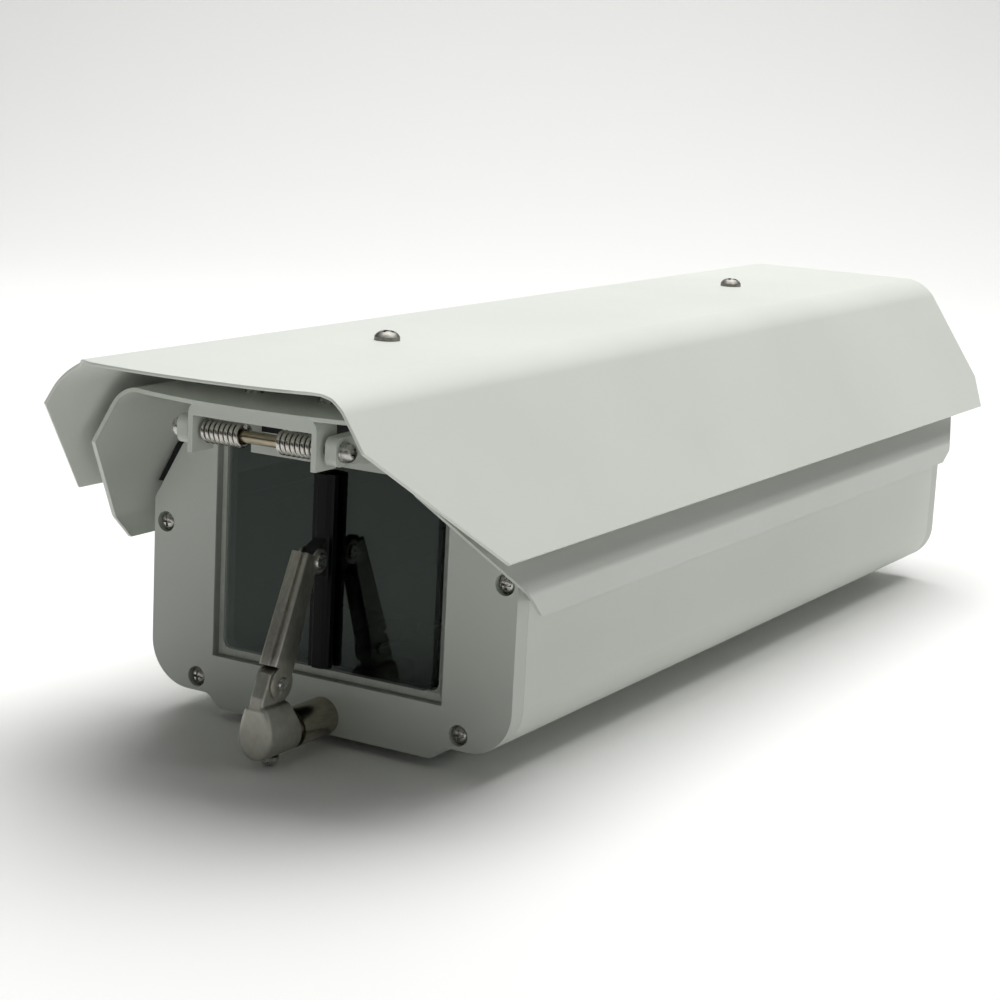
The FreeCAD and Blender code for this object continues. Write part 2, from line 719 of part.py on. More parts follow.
def make_base_plate():
    body = new_body("base_plate")
    grow(body, "Z", "wall", "base_plate_thickness",
         rectangle("-base_plate_half_width", "base_plate_half_width",
                   "-base_plate_half_length", "base_plate_half_length"))
    carve(body, "Z", "wall", "base_plate_thickness", *[disc(x, y, "mount_hole_radius") for x, y in MOUNT_HOLES])


def bent_outline(half, radius, run, rise):
    """The mirrored outline whose last corner on the right is a bend from the slope into the flat top."""
    x, z = half[-1]
    slope = f"sqrt({run} * {run} + {rise} * {rise})"
    tangent = f"({radius}) * ({slope} - {run}) / {rise}"
    rounded = half[:-1] + [(f"{x} + {tangent} * {run} / {slope}", f"{z} - {tangent} * {rise} / {slope}"),
                           (f"{x} - {tangent}", z)]
    arc = (radius, 1)
    return outline(mirrored(rounded), {len(half) - 1: arc, len(half) + 1: arc})


def folded_sheet(body, at, length, outer, inner, thickness, radius, run, rise):
    grow(body, "Y", at, length, bent_outline(outer, radius, run, rise))
    carve(body, "Y", at, length, bent_outline(inner, f"{radius} - {thickness}", run, rise))


def make_cover():
    body = new_body("cover_shell")
    at = f"{FRONT} - cover_front - cover_nose"
    length = "case_length + cover_front + cover_nose"
    side_step = f"(cover_sheet * sqrt({COVER_RUN} * {COVER_RUN} + {COVER_RISE} * {COVER_RISE}) / {COVER_RISE})"
    outer = [("cover_lip_x", "cover_lip_z"), ("cover_lip_x", "cover_crease_z"), ("cover_top_x", "cover_top_z")]
    inner_x = "cover_lip_x - cover_sheet"
    inner = [(inner_x, "cover_lip_z - 1"),
             (inner_x, f"cover_crease_z - ({side_step} - cover_sheet) * {COVER_RISE} / {COVER_RUN}"),
             (f"cover_top_x + cover_sheet * {COVER_RUN} / {COVER_RISE} - {side_step}", COVER_UNDERSIDE)]
    folded_sheet(body, at, length, outer, inner, "cover_sheet", "cover_bend_radius", COVER_RUN, COVER_RISE)
    soften(body, "cover_crease_radius", "Y", *both_sides(*outer[1]))
    reach = "2 * cover_lip_x"
    nose = "cover_nose_half_width"
    arc = f"({nose} * {nose} + cover_nose * cover_nose) / (2 * cover_nose)"
    line = f"{FRONT} - cover_front"
    ahead = f"{line} - cover_nose - 5"
    carve(body, "Z", "cover_lip_z - 5", "cover_top_z",
          outline([(f"-{reach}", ahead), (reach, ahead), (reach, line), (nose, line), (f"-{nose}", line),
                   (f"-{reach}", line)], {3: (arc, -1)}))
    below = "cover_lip_z - 5"
    carve(body, "X", f"-{reach}", f"2 * {reach}",
          outline([(ahead, "cover_kink_z"), (line, "cover_kink_z"), (f"{FRONT} - cover_crease_front", "cover_crease_z"),
                   (f"{FRONT} - cover_lip_front", "cover_lip_z"), (f"{FRONT} - cover_lip_front", below),
                   (ahead, below)]))
    carve(body, "X", f"-{reach}", f"2 * {reach}",
          outline([(f"{BACK}", "cover_rear_kink_z"), (f"{BACK} + 5", "cover_rear_kink_z"), (f"{BACK} + 5", below),
                   (f"{BACK} - cover_lip_rear", below), (f"{BACK} - cover_lip_rear", "cover_lip_z"),
                   (f"{BACK} - cover_crease_rear", "cover_lip_z + 5"),
                   (f"{BACK} - cover_crease_rear", "cover_crease_z")]))
    carve(body, "Z", f"{COVER_UNDERSIDE} - 1", "cover_sheet + 2",
          *[disc(x, y, "clear_radius") for x, y in BRACKET_SCREWS + TAB_SCREWS],
          *[disc(x, y, "shield_screw_radius + 0.1") for x, y in SHIELD_SCREWS])


def make_shield():
    body = new_body("sun_shield")
    at = f"{FRONT} - shield_nose - shield_nose_rise"
    length = "case_length + shield_nose + shield_nose_rise + shield_overhang"
    side_step = f"(shield_sheet * sqrt({SHIELD_RUN} * {SHIELD_RUN} + {SHIELD_RISE} * {SHIELD_RISE}) / {SHIELD_RISE})"
    outer = [("shield_edge_x", "shield_edge_z"), ("shield_top_x", "shield_top_z")]
    inner = [(f"shield_edge_x - {side_step} + {SHIELD_RUN} / {SHIELD_RISE}", "shield_edge_z - 1"),
             (f"shield_top_x + shield_sheet * {SHIELD_RUN} / {SHIELD_RISE} - {side_step}", SHIELD_UNDERSIDE)]
    folded_sheet(body, at, length, outer, inner, "shield_sheet", "shield_bend_radius", SHIELD_RUN, SHIELD_RISE)
    reach = "2 * shield_edge_x"
    nose, shoulder = "shield_nose_half_width", "shield_shoulder_x"
    arc = f"({nose} * {nose} + shield_nose_rise * shield_nose_rise) / (2 * shield_nose_rise)"
    ahead = f"{FRONT} - shield_nose - shield_nose_rise - 5"
    tip, line = f"{FRONT} - shield_nose", f"{FRONT} - shield_front"
    carve(body, "Z", "shield_edge_z - 5", "shield_top_z",
          outline([(f"-{reach}", ahead), (reach, ahead), (reach, line), (shoulder, line), (nose, tip),
                   (f"-{nose}", tip), (f"-{shoulder}", line), (f"-{reach}", line)],
                  {3: ("shield_nose_radius", -1), 4: (arc, -1), 5: ("shield_nose_radius", -1)}))
    below = "shield_edge_z - 5"
    edge_front = f"{FRONT} - shield_edge_front"
    carve(body, "X", f"-{reach}", f"2 * {reach}",
          outline([(ahead, "shield_kink_z"), (line, "shield_kink_z"), (edge_front, "shield_edge_z"),
                   (edge_front, below), (ahead, below)]))
    rear = f"{BACK} + shield_overhang"
    carve(body, "X", f"-{reach}", f"2 * {reach}",
          outline([(rear, "shield_rear_cut_z"), (f"{rear} + 5", "shield_rear_cut_z"), (f"{rear} + 5", below),
                   (f"{rear} - shield_rear_cut", below), (f"{rear} - shield_rear_cut", "shield_edge_z")]))
    carve(body, "Z", f"{SHIELD_UNDERSIDE} - 1", "shield_sheet + 2",
          *[disc(x, y, "shield_screw_radius + 0.1") for x, y in SHIELD_SCREWS])


def make_shield_fixings():
    gap = size(f"{SHIELD_UNDERSIDE} - cover_top_z")
    bore = size("shield_screw_radius + 0.1")
    tube = Part.makeCylinder(size("spacer_radius"), gap).cut(Part.makeCylinder(bore, gap))
    group("shield_spacers", tube, [(x, y, "cover_top_z") for x, y in SHIELD_SCREWS], Vector(0, 0, 1))
    length = size(f"shield_top_z - {COVER_UNDERSIDE} + shield_nut_height + 2")
    screw = pan_screw(size("shield_screw_radius"), length, size("shield_head_radius"), size("shield_head_height"))
    group("shield_screws", screw, [(x, y, "shield_top_z") for x, y in SHIELD_SCREWS], Vector(0, 0, 1))
    nut = hexagon(size("shield_nut_flats"), size("shield_nut_height"), size("shield_screw_radius"))
    group("shield_nuts", nut, [(x, y, f"{COVER_UNDERSIDE} - shield_nut_height") for x, y in SHIELD_SCREWS],
          Vector(0, 0, 1))


def make_yoke():
    """Fixed half of the hinge: a strip on the front plate with two arms that hold the pin."""
    body = new_body("hinge_yoke")
    strip_front = f"{FRONT} - yoke_strip_thickness"
    grow(body, "Y", strip_front, "yoke_strip_thickness",
         rectangle(f"-{LUG_OUTER}", LUG_OUTER, "yoke_bottom", "yoke_top"))
    tip = f"{PIN_Y} - lug_reach"
    low, high = "pin_z - lug_half_height", "pin_z + lug_half_height"
    side = outline([(tip, low), (f"{PIN_Y} + 2 * lug_reach", low), (FRONT, "yoke_bottom"), (FRONT, "yoke_top"),
                    (tip, high)])
    for at in ("lug_inner_x", f"-{LUG_OUTER}"):
        grow(body, "X", at, "lug_thickness", side)
    soften(body, "lug_corner_radius", "X", (tip, low), (tip, high))
    carve(body, "X", "-2 * lug_inner_x", "4 * lug_inner_x", disc(PIN_Y, "pin_z", "pin_screw_radius + 0.1"))
    middle = "(yoke_bottom + yoke_top) / 2"
    carve(body, "Y", strip_front, "yoke_strip_thickness",
          *[disc(f"{sign} * yoke_screw_x", middle, "clear_radius") for sign in (-1, 1)])
    length = size("yoke_strip_thickness + plate_thickness - 1")
    screw = pan_screw(size("tap_radius"), length, size("plate_head_radius"), size("plate_head_height"))
    group("hinge_yoke_screws", screw, [(f"{sign} * yoke_screw_x", strip_front, middle) for sign in (-1, 1)],
          Vector(0, -1, 0))


def make_hinge_pin():
    pin = doc.addObject("Part::Cylinder", "hinge_rod")
    pin.setExpression("Radius", bound("pin_radius"))
    pin.setExpression("Height", bound("2 * lug_inner_x"))
    pin.Placement = Placement(Vector(0, 0, 0), Rotation(Vector(0, 1, 0), 90))
    bore = doc.addObject("Part::Cylinder", "hinge_rod_bore")
    bore.setExpression("Radius", bound("pin_screw_radius"))
    bore.setExpression("Height", bound("2 * lug_inner_x"))
    bore.Placement = pin.Placement
    for item in (pin, bore):
        item.setExpression("Placement.Base.x", bound("-lug_inner_x"))
    cut = doc.addObject("Part::Cut", "hinge_pin")
    cut.Base, cut.Tool = pin, bore
    cut.Label = "hinge_pin"
    cut.setExpression("Placement.Base.y", bound(PIN_Y))
    cut.setExpression("Placement.Base.z", bound("pin_z"))
    nodes.append(cut)
    doc.recompute()
    screw = pan_screw(size("pin_screw_radius"), size("lug_thickness + 12"), size("pin_head_radius"),
                      size("pin_head_height"))
    washer = Part.makeCylinder(size("pin_washer_radius"), size("pin_washer_thickness")).cut(
        Part.makeCylinder(size("pin_screw_radius"), size("pin_washer_thickness")))
    face = size(LUG_OUTER)
    y, z, thick = size(PIN_Y), size("pin_z"), size("pin_washer_thickness")
    ends = [(sign, Vector(sign, 0, 0)) for sign in (-1, 1)]
    add_shape("hinge_pin_washers", Part.makeCompound(
        [aim(washer, (sign * face, y, z), out) for sign, out in ends]))
    add_shape("hinge_pin_screws", Part.makeCompound(
        [aim(screw, (sign * (face + thick), y, z), out) for sign, out in ends]))


def make_hinge_springs():
    """Two torsion springs on the pin that lift part of the cover's weight."""
    wire = size("spring_wire")
    length = size("bracket_half_width - bracket_wall - spring_inner_x") - 2 * wire - size("small_gap")
    helix = Part.makeHelix(length / size("spring_turns"), length, size("spring_radius"))
    section = Part.Wire(Part.makeCircle(wire, Vector(size("spring_radius"), 0, 0), Vector(0, 1, 0)))
    coil = Part.Wire(helix).makePipeShell([section], True, True)
    for side, sign in SIDES.items():
        start = sign * (size("spring_inner_x") + wire)
        place = Placement(Vector(start, size(PIN_Y), size("pin_z")), Rotation(Vector(0, 0, 1), Vector(sign, 0, 0)))
        add_shape(f"hinge_spring_{side}", coil, place)


def make_bracket():
    """Moving half of the hinge: a U bracket under the visor, screwed to the cover."""
    body = new_body("hinge_bracket")
    front = f"{FRONT} - bracket_front"
    inner_x = "bracket_half_width - bracket_wall"
    under = f"{COVER_UNDERSIDE} - bracket_flange"
    grow(body, "Y", front, "bracket_leg_depth",
         outline(mirrored([("bracket_half_width", "bracket_leg_bottom"), ("bracket_half_width", COVER_UNDERSIDE)]) +
                 [(f"-({inner_x})", "bracket_leg_bottom"), (f"-({inner_x})", under), (inner_x, under),
                  (inner_x, "bracket_leg_bottom")]))
    soften(body, "bracket_corner_radius", "Y", *both_sides("bracket_half_width", COVER_UNDERSIDE))
    grow(body, "Z", f"{COVER_UNDERSIDE} - bracket_tail_thickness", "bracket_tail_thickness",
         rectangle("-bracket_half_width + bracket_corner_radius", "bracket_half_width - bracket_corner_radius",
                   f"{front} + bracket_leg_depth", f"{FRONT} - bracket_tail"))
    carve(body, "X", "-2 * bracket_half_width", "4 * bracket_half_width",
          disc(PIN_Y, "pin_z", "pin_radius + running_gap"))
    carve(body, "Z", f"{COVER_UNDERSIDE} - bracket_flange", "bracket_flange",
          *[disc(x, y, "tap_radius") for x, y in BRACKET_SCREWS])
    screw = pan_screw(size("tap_radius"), size("cover_sheet + bracket_tail_thickness + 1"),
                      size("plate_head_radius"), size("plate_head_height"))
    group("hinge_bracket_screws", screw, [(x, y, "cover_top_z") for x, y in BRACKET_SCREWS], Vector(0, 0, 1))


def make_lock():
    tab = new_body("lock_tab")
    inner = f"{BACK} + small_gap"
    start = f"{BACK} - tab_flange_length"
    grow(tab, "X", "-tab_half_width", "2 * tab_half_width",
         outline([(start, "cover_top_z"), (start, "cover_top_z + tab_sheet"),
                  (f"{inner} + tab_sheet", "cover_top_z + tab_sheet"), (f"{inner} + tab_sheet", "tab_bottom"),
                  (inner, "tab_bottom"), (inner, "cover_top_z")]))
    soften(tab, "tab_sheet", "X", (f"{inner} + tab_sheet", "cover_top_z + tab_sheet"))
    slot = "lock_stud_radius + tab_slot_clearance"
    carve(tab, "Y", inner, "tab_sheet", rectangle(f"-({slot})", slot, "tab_bottom - 5", "lock_z"))
    carve(tab, "Y", inner, "tab_sheet", disc("0", "lock_z", slot))
    carve(tab, "Z", "cover_top_z", "tab_sheet", *[disc(x, y, "tap_radius") for x, y in TAB_SCREWS])
    screw = pan_screw(size("tap_radius"), size("tab_sheet + cover_sheet + 3"), size("plate_head_radius"),
                      size("plate_head_height"))
    group("lock_tab_screws", screw, [(x, y, "cover_top_z + tab_sheet") for x, y in TAB_SCREWS], Vector(0, 0, 1))
    knob = new_body("lock_knob")
    stud = "plate_thickness - 1"
    face = "(small_gap + tab_sheet + lock_gap)"
    turn(knob, "Y", [(f"-({stud})", "0"), (f"-({stud})", "lock_stud_radius"), (face, "lock_stud_radius"),
                     (face, "lock_knob_radius"), (f"{face} + lock_knob_length - 1", "lock_knob_radius"),
                     (f"{face} + lock_knob_length", "lock_knob_radius - 1"), (f"{face} + lock_knob_length", "0")])
    scallop = [disc(f"(lock_knob_radius + 1.2) * cos({angle})", f"(lock_knob_radius + 1.2) * sin({angle})", "2.2")
               for angle in range(0, 360, 45)]
    carve(knob, "Y", face, "lock_knob_length", *scallop)
    move_body(knob, y=BACK, z="lock_z")


def make_bushing():
    body = new_body("wiper_bushing")
    collar = "(bushing_length + 1.6)"
    turn(body, "Y", [(f"-{collar}", "shaft_radius + running_gap"), (f"-{collar}", "bushing_collar_radius"),
                     ("-bushing_length", "bushing_collar_radius"), ("-bushing_length", "bushing_radius"),
                     ("0", "bushing_radius"), ("0", "bushing_neck_radius"),
                     ("plate_thickness", "bushing_neck_radius"), ("plate_thickness", "shaft_radius + running_gap")])
    move_body(body, y=FRONT, z="shaft_z")


def make_wiper_head():
    shaft = new_body("wiper_shaft")
    start = f"{FRONT} - head_front + 5"
    grow(shaft, "Y", start, "head_front - 5 + plate_thickness + drive_bracket_thickness + 12",
         disc("0", "shaft_z", "shaft_radius"))
    body = new_body("wiper_head")
    front = f"{FRONT} - head_front"
    length = "head_front - head_back"
    back = f"{FRONT} - head_back"
    narrowing, rise = "(head_radius - head_shoulder_half_width)", "(head_shoulder_z - shaft_z)"
    flank = (f"({narrowing} * {narrowing} + {rise} * {rise}) / (2 * {narrowing})", 1)
    grow(body, "Y", front, length,
         outline([("-head_radius", "shaft_z"), ("0", "shaft_z - head_radius"), ("head_radius", "shaft_z"),
                  ("head_shoulder_half_width", "head_shoulder_z"), ("-head_shoulder_half_width", "head_shoulder_z")],
                 {0: ("head_radius", 1), 1: ("head_radius", 1), 2: flank, 4: flank}))
    soften_rim(body, "head_edge_radius", "Y", front)
    pivot_y = f"{FRONT} - arm_pivot_ahead"
    tongue = "(arm_half_width - arm_sheet - side_gap)"
    grow(body, "X", f"-{tongue}", f"2 * {tongue}",
         outline([(front, "head_shoulder_z - 2"), (f"{pivot_y} + 2", "head_shoulder_z - 2"),
                  (f"{pivot_y} + 5.4", "arm_pivot_z - 3"), (f"{pivot_y} + 4", "arm_pivot_z + 4.4"),
                  (f"{pivot_y} - 2", "arm_pivot_z + 5.8"), (f"{pivot_y} - 6.2", "arm_pivot_z + 4.6"),
                  (f"{pivot_y} - 10", "arm_pivot_z - 3.4")]))
    carve(body, "X", "-2 * head_radius", "4 * head_radius",
          outline([(back, "head_slope_z"), (f"{back} + 2", "head_slope_z"), (f"{back} + 2", "arm_pivot_z"),
                   (f"{pivot_y} + 3.5", "arm_pivot_z - 7")]))
    carve(body, "Y", f"{front} + 5", length, disc("0", "shaft_z", "shaft_radius + seat_gap"))
    carve(body, "X", "-2 * head_radius", "4 * head_radius",
          disc(pivot_y, "arm_pivot_z", "rivet_radius + running_gap"))
    screw_y = f"{FRONT} - (head_front + head_back) / 2"
    carve(body, "Z", "shaft_z - head_radius - 1", "head_radius + 1 - shaft_radius", disc("0", screw_y, "tap_radius"))
    screw = pan_screw(size("tap_radius"), size("head_radius - shaft_radius"), size("plate_head_radius"), 3.4)
    add_shape("wiper_head_screw", aim(screw, (0, size(screw_y), size("shaft_z - head_radius")), Vector(0, 0, -1)))


def rivet(label, pivot_ahead, pivot_z, head_radius):
    body = new_body(label)
    half = "(arm_half_width)"
    turn(body, "X", [(f"-{half} - rivet_head_height", "0"), (f"-{half} - rivet_head_height", f"{head_radius} - 0.5"),
                     (f"-{half} - rivet_head_height / 2", head_radius), (f"-{half}", head_radius),
                     (f"-{half}", "rivet_radius"), (half, "rivet_radius"), (half, head_radius),
                     (f"{half} + rivet_head_height / 2", head_radius),
                     (f"{half} + rivet_head_height", f"{head_radius} - 0.5"), (f"{half} + rivet_head_height", "0")])
    move_body(body, y=f"{FRONT} - {pivot_ahead}", z=pivot_z)


def make_wiper_arm():
    """A pressed channel, drawn upright from its lower rivet and then leant back towards the glass."""
    body = new_body("wiper_arm")
    front, foot, top = "-arm_web_depth", "arm_foot_height", "(arm_pivot_up + arm_tip_height)"
    low, high = ("0", "0"), ("arm_pivot_back", "arm_pivot_up")
    width = "2 * arm_half_width"
    grow(body, "X", "-arm_half_width", width,
         outline([(front, foot), (f"{front} + arm_heel_depth", foot), (f"{front} + arm_toe_depth", top), (front, top)]))
    soften(body, "arm_bend_radius", "Z", *both_sides("arm_half_width", front))
    grow(body, "X", "-arm_half_width", width, disc(*low, "arm_ear_radius"))
    grow(body, "X", "-arm_half_width", width, disc(*high, "arm_tip_ear_radius"))
    inside = "(arm_half_width - arm_sheet)"
    carve(body, "X", f"-{inside}", f"2 * {inside}",
          rectangle(f"{front} + arm_sheet", "arm_heel_depth", "-2 * arm_ear_radius", f"{top} + 2 * arm_ear_radius"))
    carve(body, "X", "-2 * arm_half_width", "4 * arm_half_width",
          disc(*low, "rivet_radius + running_gap"), disc(*high, "rivet_radius + running_gap"))
    carve(body, "Z", foot, f"{top} - {foot}",
          disc("arm_bead_offset", f"{front} - arm_bead_radius + arm_bead_depth", "arm_bead_radius"))
    body.Placement = Placement(Vector(0, 0, 0), Rotation(Vector(-1, 0, 0), size("arm_lean")))
    body.setExpression("Placement.Rotation.Angle", bound("arm_lean"))
    move_body(body, y=f"{FRONT} - arm_pivot_ahead", z="arm_pivot_z")


def make_blade():
    holder = new_body("blade_holder")
    front = f"{FRONT} - blade_front"
    length = "blade_top - blade_bottom"
    back = f"{front} + blade_depth"
    ridge = "lip_half_width + 1"
    grow(holder, "Z", "blade_bottom", length,
         outline(mirrored([("blade_half_width", back), ("blade_half_width", f"{front} + 1.2"),
                           ("blade_half_width - 1.2", f"{front} + 1.2"), (ridge, front)])))
    carve(holder, "Z", "blade_bottom", length,
          rectangle("-lip_half_width", "lip_half_width", f"{back} - 1.4", f"{back}"))
    rubber = new_body("blade_rubber")
    edge = f"{GLASS_FRONT} - lip_gap"
    grow(rubber, "Z", "blade_bottom", length,
         outline(mirrored([("lip_half_width", f"{back} - 1.4"), ("lip_half_width", back), ("lip_half_width * 2.4", back),
                           ("lip_half_width * 2.4", f"{back} + 0.7"), ("lip_half_width * 0.6", f"{back} + 0.9"),
                           ("lip_half_width * 0.5", edge)][::-1])))
    clip = new_body("blade_clip")
    half = "(arm_half_width - arm_sheet - side_gap)"
    high = (f"{FRONT} - blade_pivot_ahead", "blade_pivot_z")
    grow(clip, "X", f"-{half}", f"2 * {half}",
         outline([(front, "blade_pivot_z - clip_half_height"), (front, "blade_pivot_z + clip_half_height"),
                  (f"{high[0]} - 2", f"{high[1]} + 3.4"), (f"{high[0]} - 3.2", f"{high[1]}"),
                  (f"{high[0]} - 2", f"{high[1]} - 3.4")]))
    carve(clip, "X", "-2 * arm_half_width", "4 * arm_half_width", disc(*high, "rivet_radius + running_gap"))


def make_wiper_drive():
    bracket = new_body("drive_bracket")
    at = f"{FRONT} + plate_thickness"
    grow(bracket, "Y", at, "drive_bracket_thickness",
         rectangle("-drive_bracket_half_width", "drive_bracket_half_width", "drive_bracket_bottom",
                   "drive_bracket_top"))
    carve(bracket, "Y", at, "drive_bracket_thickness",
          *[disc(f"{sign} * drive_screw_x", "drive_screw_z", "tap_radius + 0.1") for sign in (-1, 1)],
          rectangle("-bushing_neck_radius", "bushing_neck_radius", "drive_bracket_bottom - 1",
                    "shaft_z + bushing_neck_radius"))
    screw = pan_screw(size("tap_radius"), size("drive_bracket_thickness + small_screw_grip"), size("plate_head_radius"),
                      size("plate_head_height"))
    group("drive_screws", screw, [(f"{sign} * drive_screw_x", f"{at} + drive_bracket_thickness", "drive_screw_z")
                                  for sign in (-1, 1)], Vector(0, 1, 0))
    gearbox = new_body("wiper_gearbox")
    start = f"{at} + drive_bracket_thickness"
    half = "gearbox_half_width"
    grow(gearbox, "Y", start, "gearbox_length", rectangle(f"-{half}", half, "gearbox_bottom", "gearbox_top"))
    soften(gearbox, "gearbox_corner_radius", "Y", *both_sides(half, "gearbox_top"))
    carve(gearbox, "Y", start, "gearbox_bore_depth", disc("0", "shaft_z", "shaft_radius + running_gap"))
    motor = new_body("wiper_motor")
    middle = "gearbox_bottom + motor_radius"
    tail = f"{start} + gearbox_length"
    grow(motor, "Y", tail, "motor_length", disc("0", middle, "motor_radius"))
    grow(motor, "Y", f"{tail} + motor_length", "motor_boss_length", disc("0", middle, "motor_radius / 3"))


def make_tray():
    tray = new_body("camera_tray")
    start = f"{FRONT} + tray_front"
    half = "tray_half_width"
    grow(tray, "Z", "tray_z", "tray_thickness", rectangle(f"-{half}", half, start, f"{start} + tray_length"))
    slot_start = f"{start} + tray_slot_start"
    for x in ("-tray_slot_pitch", "0", "tray_slot_pitch"):
        low, high = f"{x} - tray_slot_half_width", f"{x} + tray_slot_half_width"
        carve(tray, "Z", "tray_z", "tray_thickness",
              rectangle(low, high, slot_start, f"{slot_start} + tray_slot_length"))
    carve(tray, "Z", "tray_z", "tray_thickness", *[disc(x, y, "clear_radius") for x, y in TRAY_PILLARS])
    height = size("tray_z - wall")
    pillar = Part.makeCylinder(size("tray_pillar_radius"), height).cut(
        Part.makeCylinder(size("tap_radius"), 10, Vector(0, 0, height - 10)))
    group("tray_pillars", pillar, [(x, y, "wall") for x, y in TRAY_PILLARS], Vector(0, 0, 1))
    screw = pan_screw(size("tap_radius"), size("tray_thickness + tray_screw_grip"), size("plate_head_radius"),
                      size("plate_head_height"))
    group("tray_screws", screw, [(x, y, "tray_z + tray_thickness") for x, y in TRAY_PILLARS], Vector(0, 0, 1))
    knob = new_body("camera_screw")
    top = "(tray_thickness + camera_screw_length)"
    turn(knob, "Z", [("-camera_knob_height", "0"), ("-camera_knob_height", "camera_knob_radius"),
                     ("0", "camera_knob_radius"), ("0", "camera_screw_radius"), (top, "camera_screw_radius"),
                     (top, "0")])
    move_body(knob, y=f"{slot_start} + tray_slot_length / 2", z="tray_z")


def make_heater():
    body = new_body("heater_block")
    at = f"{FRONT} + heater_front"
    half = "heater_half_width"
    grow(body, "Y", at, "heater_length", rectangle(f"-{half}", half, "wall", "wall + heater_base"))
    count = int(size("(2 * heater_half_width - fin_thickness) / fin_pitch")) + 1
    first = f"-(({count} - 1) * fin_pitch + fin_thickness) / 2"
    fins = [rectangle(f"{first} + {k} * fin_pitch", f"{first} + {k} * fin_pitch + fin_thickness",
                      "wall + heater_base", "wall + heater_height") for k in range(count)]
    grow(body, "Y", at, "heater_length", *fins)


def make_fan():
    frame = new_body("fan_frame")
    at = f"{FRONT} + fan_front"
    base = "tray_z + tray_thickness"
    middle = f"({base} + fan_half_width)"
    half = "fan_half_width"
    grow(frame, "Y", at, "fan_depth", rectangle(f"-{half}", half, base, f"{base} + 2 * fan_half_width"))
    soften(frame, "3", "Y", *both_sides(half, base), *both_sides(half, f"{base} + 2 * fan_half_width"))
    carve(frame, "Y", at, "fan_depth", disc("0", middle, "fan_hole_radius"))
    spoke = "fan_hole_radius + 0.5"
    grow(frame, "Y", f"{at} + fan_depth - 1.5", "1.5", rectangle(f"-({spoke})", spoke, f"{middle} - 1.2",
                                                                 f"{middle} + 1.2"))
    grow(frame, "Y", f"{at} + fan_depth - 1.5", "1.5", disc("0", middle, "fan_hub_radius"))
    grow(frame, "Y", f"{at} + 2", "fan_depth - 3", disc("0", middle, "rivet_radius"))
    hub_depth = size("fan_depth") - 3.5
    hub = Part.makeCylinder(size("fan_hub_radius"), hub_depth)
    wheel = hub
    reach = size("fan_blade_radius") - size("fan_hub_radius") + 2
    for k in range(int(size("fan_blade_count"))):
        blade = Part.makeBox(reach, 9, 1.2, Vector(size("fan_hub_radius") - 2, -4.5, -0.6))
        blade.rotate(Vector(0, 0, 0), Vector(1, 0, 0), 32)
        blade.translate(Vector(0, 0, hub_depth / 2))
        blade.rotate(Vector(0, 0, 0), Vector(0, 0, 1), 360 / size("fan_blade_count") * k)
        wheel = wheel.fuse(blade)
    limit = Part.makeCylinder(size("fan_blade_radius"), hub_depth)
    wheel = wheel.common(limit).cut(Part.makeCylinder(size("rivet_radius + running_gap"), 2 * hub_depth,
                                                      Vector(0, 0, -1)))
    add_shape("fan_rotor", aim(wheel, (0, size(at) + 1, size(middle)), Vector(0, 1, 0)))


def make_board():
    board = new_body("terminal_board")
    at = f"{FRONT} + board_front"
    half = "board_half_width"
    grow(board, "Z", "board_z", "board_thickness", rectangle(f"-{half}", half, at, f"{at} + board_length"))
    carve(board, "Z", "board_z", "board_thickness", *[disc(x, y, "tap_radius + 0.1") for x, y in BOARD_PILLARS])
    height = size("board_z - wall")
    pillar = Part.makeCylinder(size("board_pillar_radius"), height).cut(
        Part.makeCylinder(size("tap_radius"), 6, Vector(0, 0, height - 6)))
    group("board_pillars", pillar, [(x, y, "wall") for x, y in BOARD_PILLARS], Vector(0, 0, 1))
    screw = pan_screw(size("tap_radius"), size("board_thickness + small_screw_grip"), size("board_pillar_radius"), 2)
    group("board_screws", screw, [(x, y, "board_z + board_thickness") for x, y in BOARD_PILLARS], Vector(0, 0, 1))
    block = new_body("terminal_block")
    top = "board_z + board_thickness"
    front = f"{at} + board_length / 2 - terminal_depth / 2"
    wide = "terminal_half_width"
    grow(block, "Z", top, "terminal_height", rectangle(f"-{wide}", wide, front, f"{front} + terminal_depth"))
    ways = int(size("terminal_ways"))
    pitch = f"2 * terminal_half_width / {ways}"
    holes = [disc(f"-{wide} + ({k} + 0.5) * {pitch}", f"{top} + terminal_height / 2", "2") for k in range(ways)]
    carve(block, "Y", front, "terminal_depth / 2", *holes)
    slots = [disc(f"-{wide} + ({k} + 0.5) * {pitch}", f"{front} + terminal_depth / 2", "2") for k in range(ways)]
    carve(block, "Z", f"{top} + terminal_height - 3", "3", *slots)


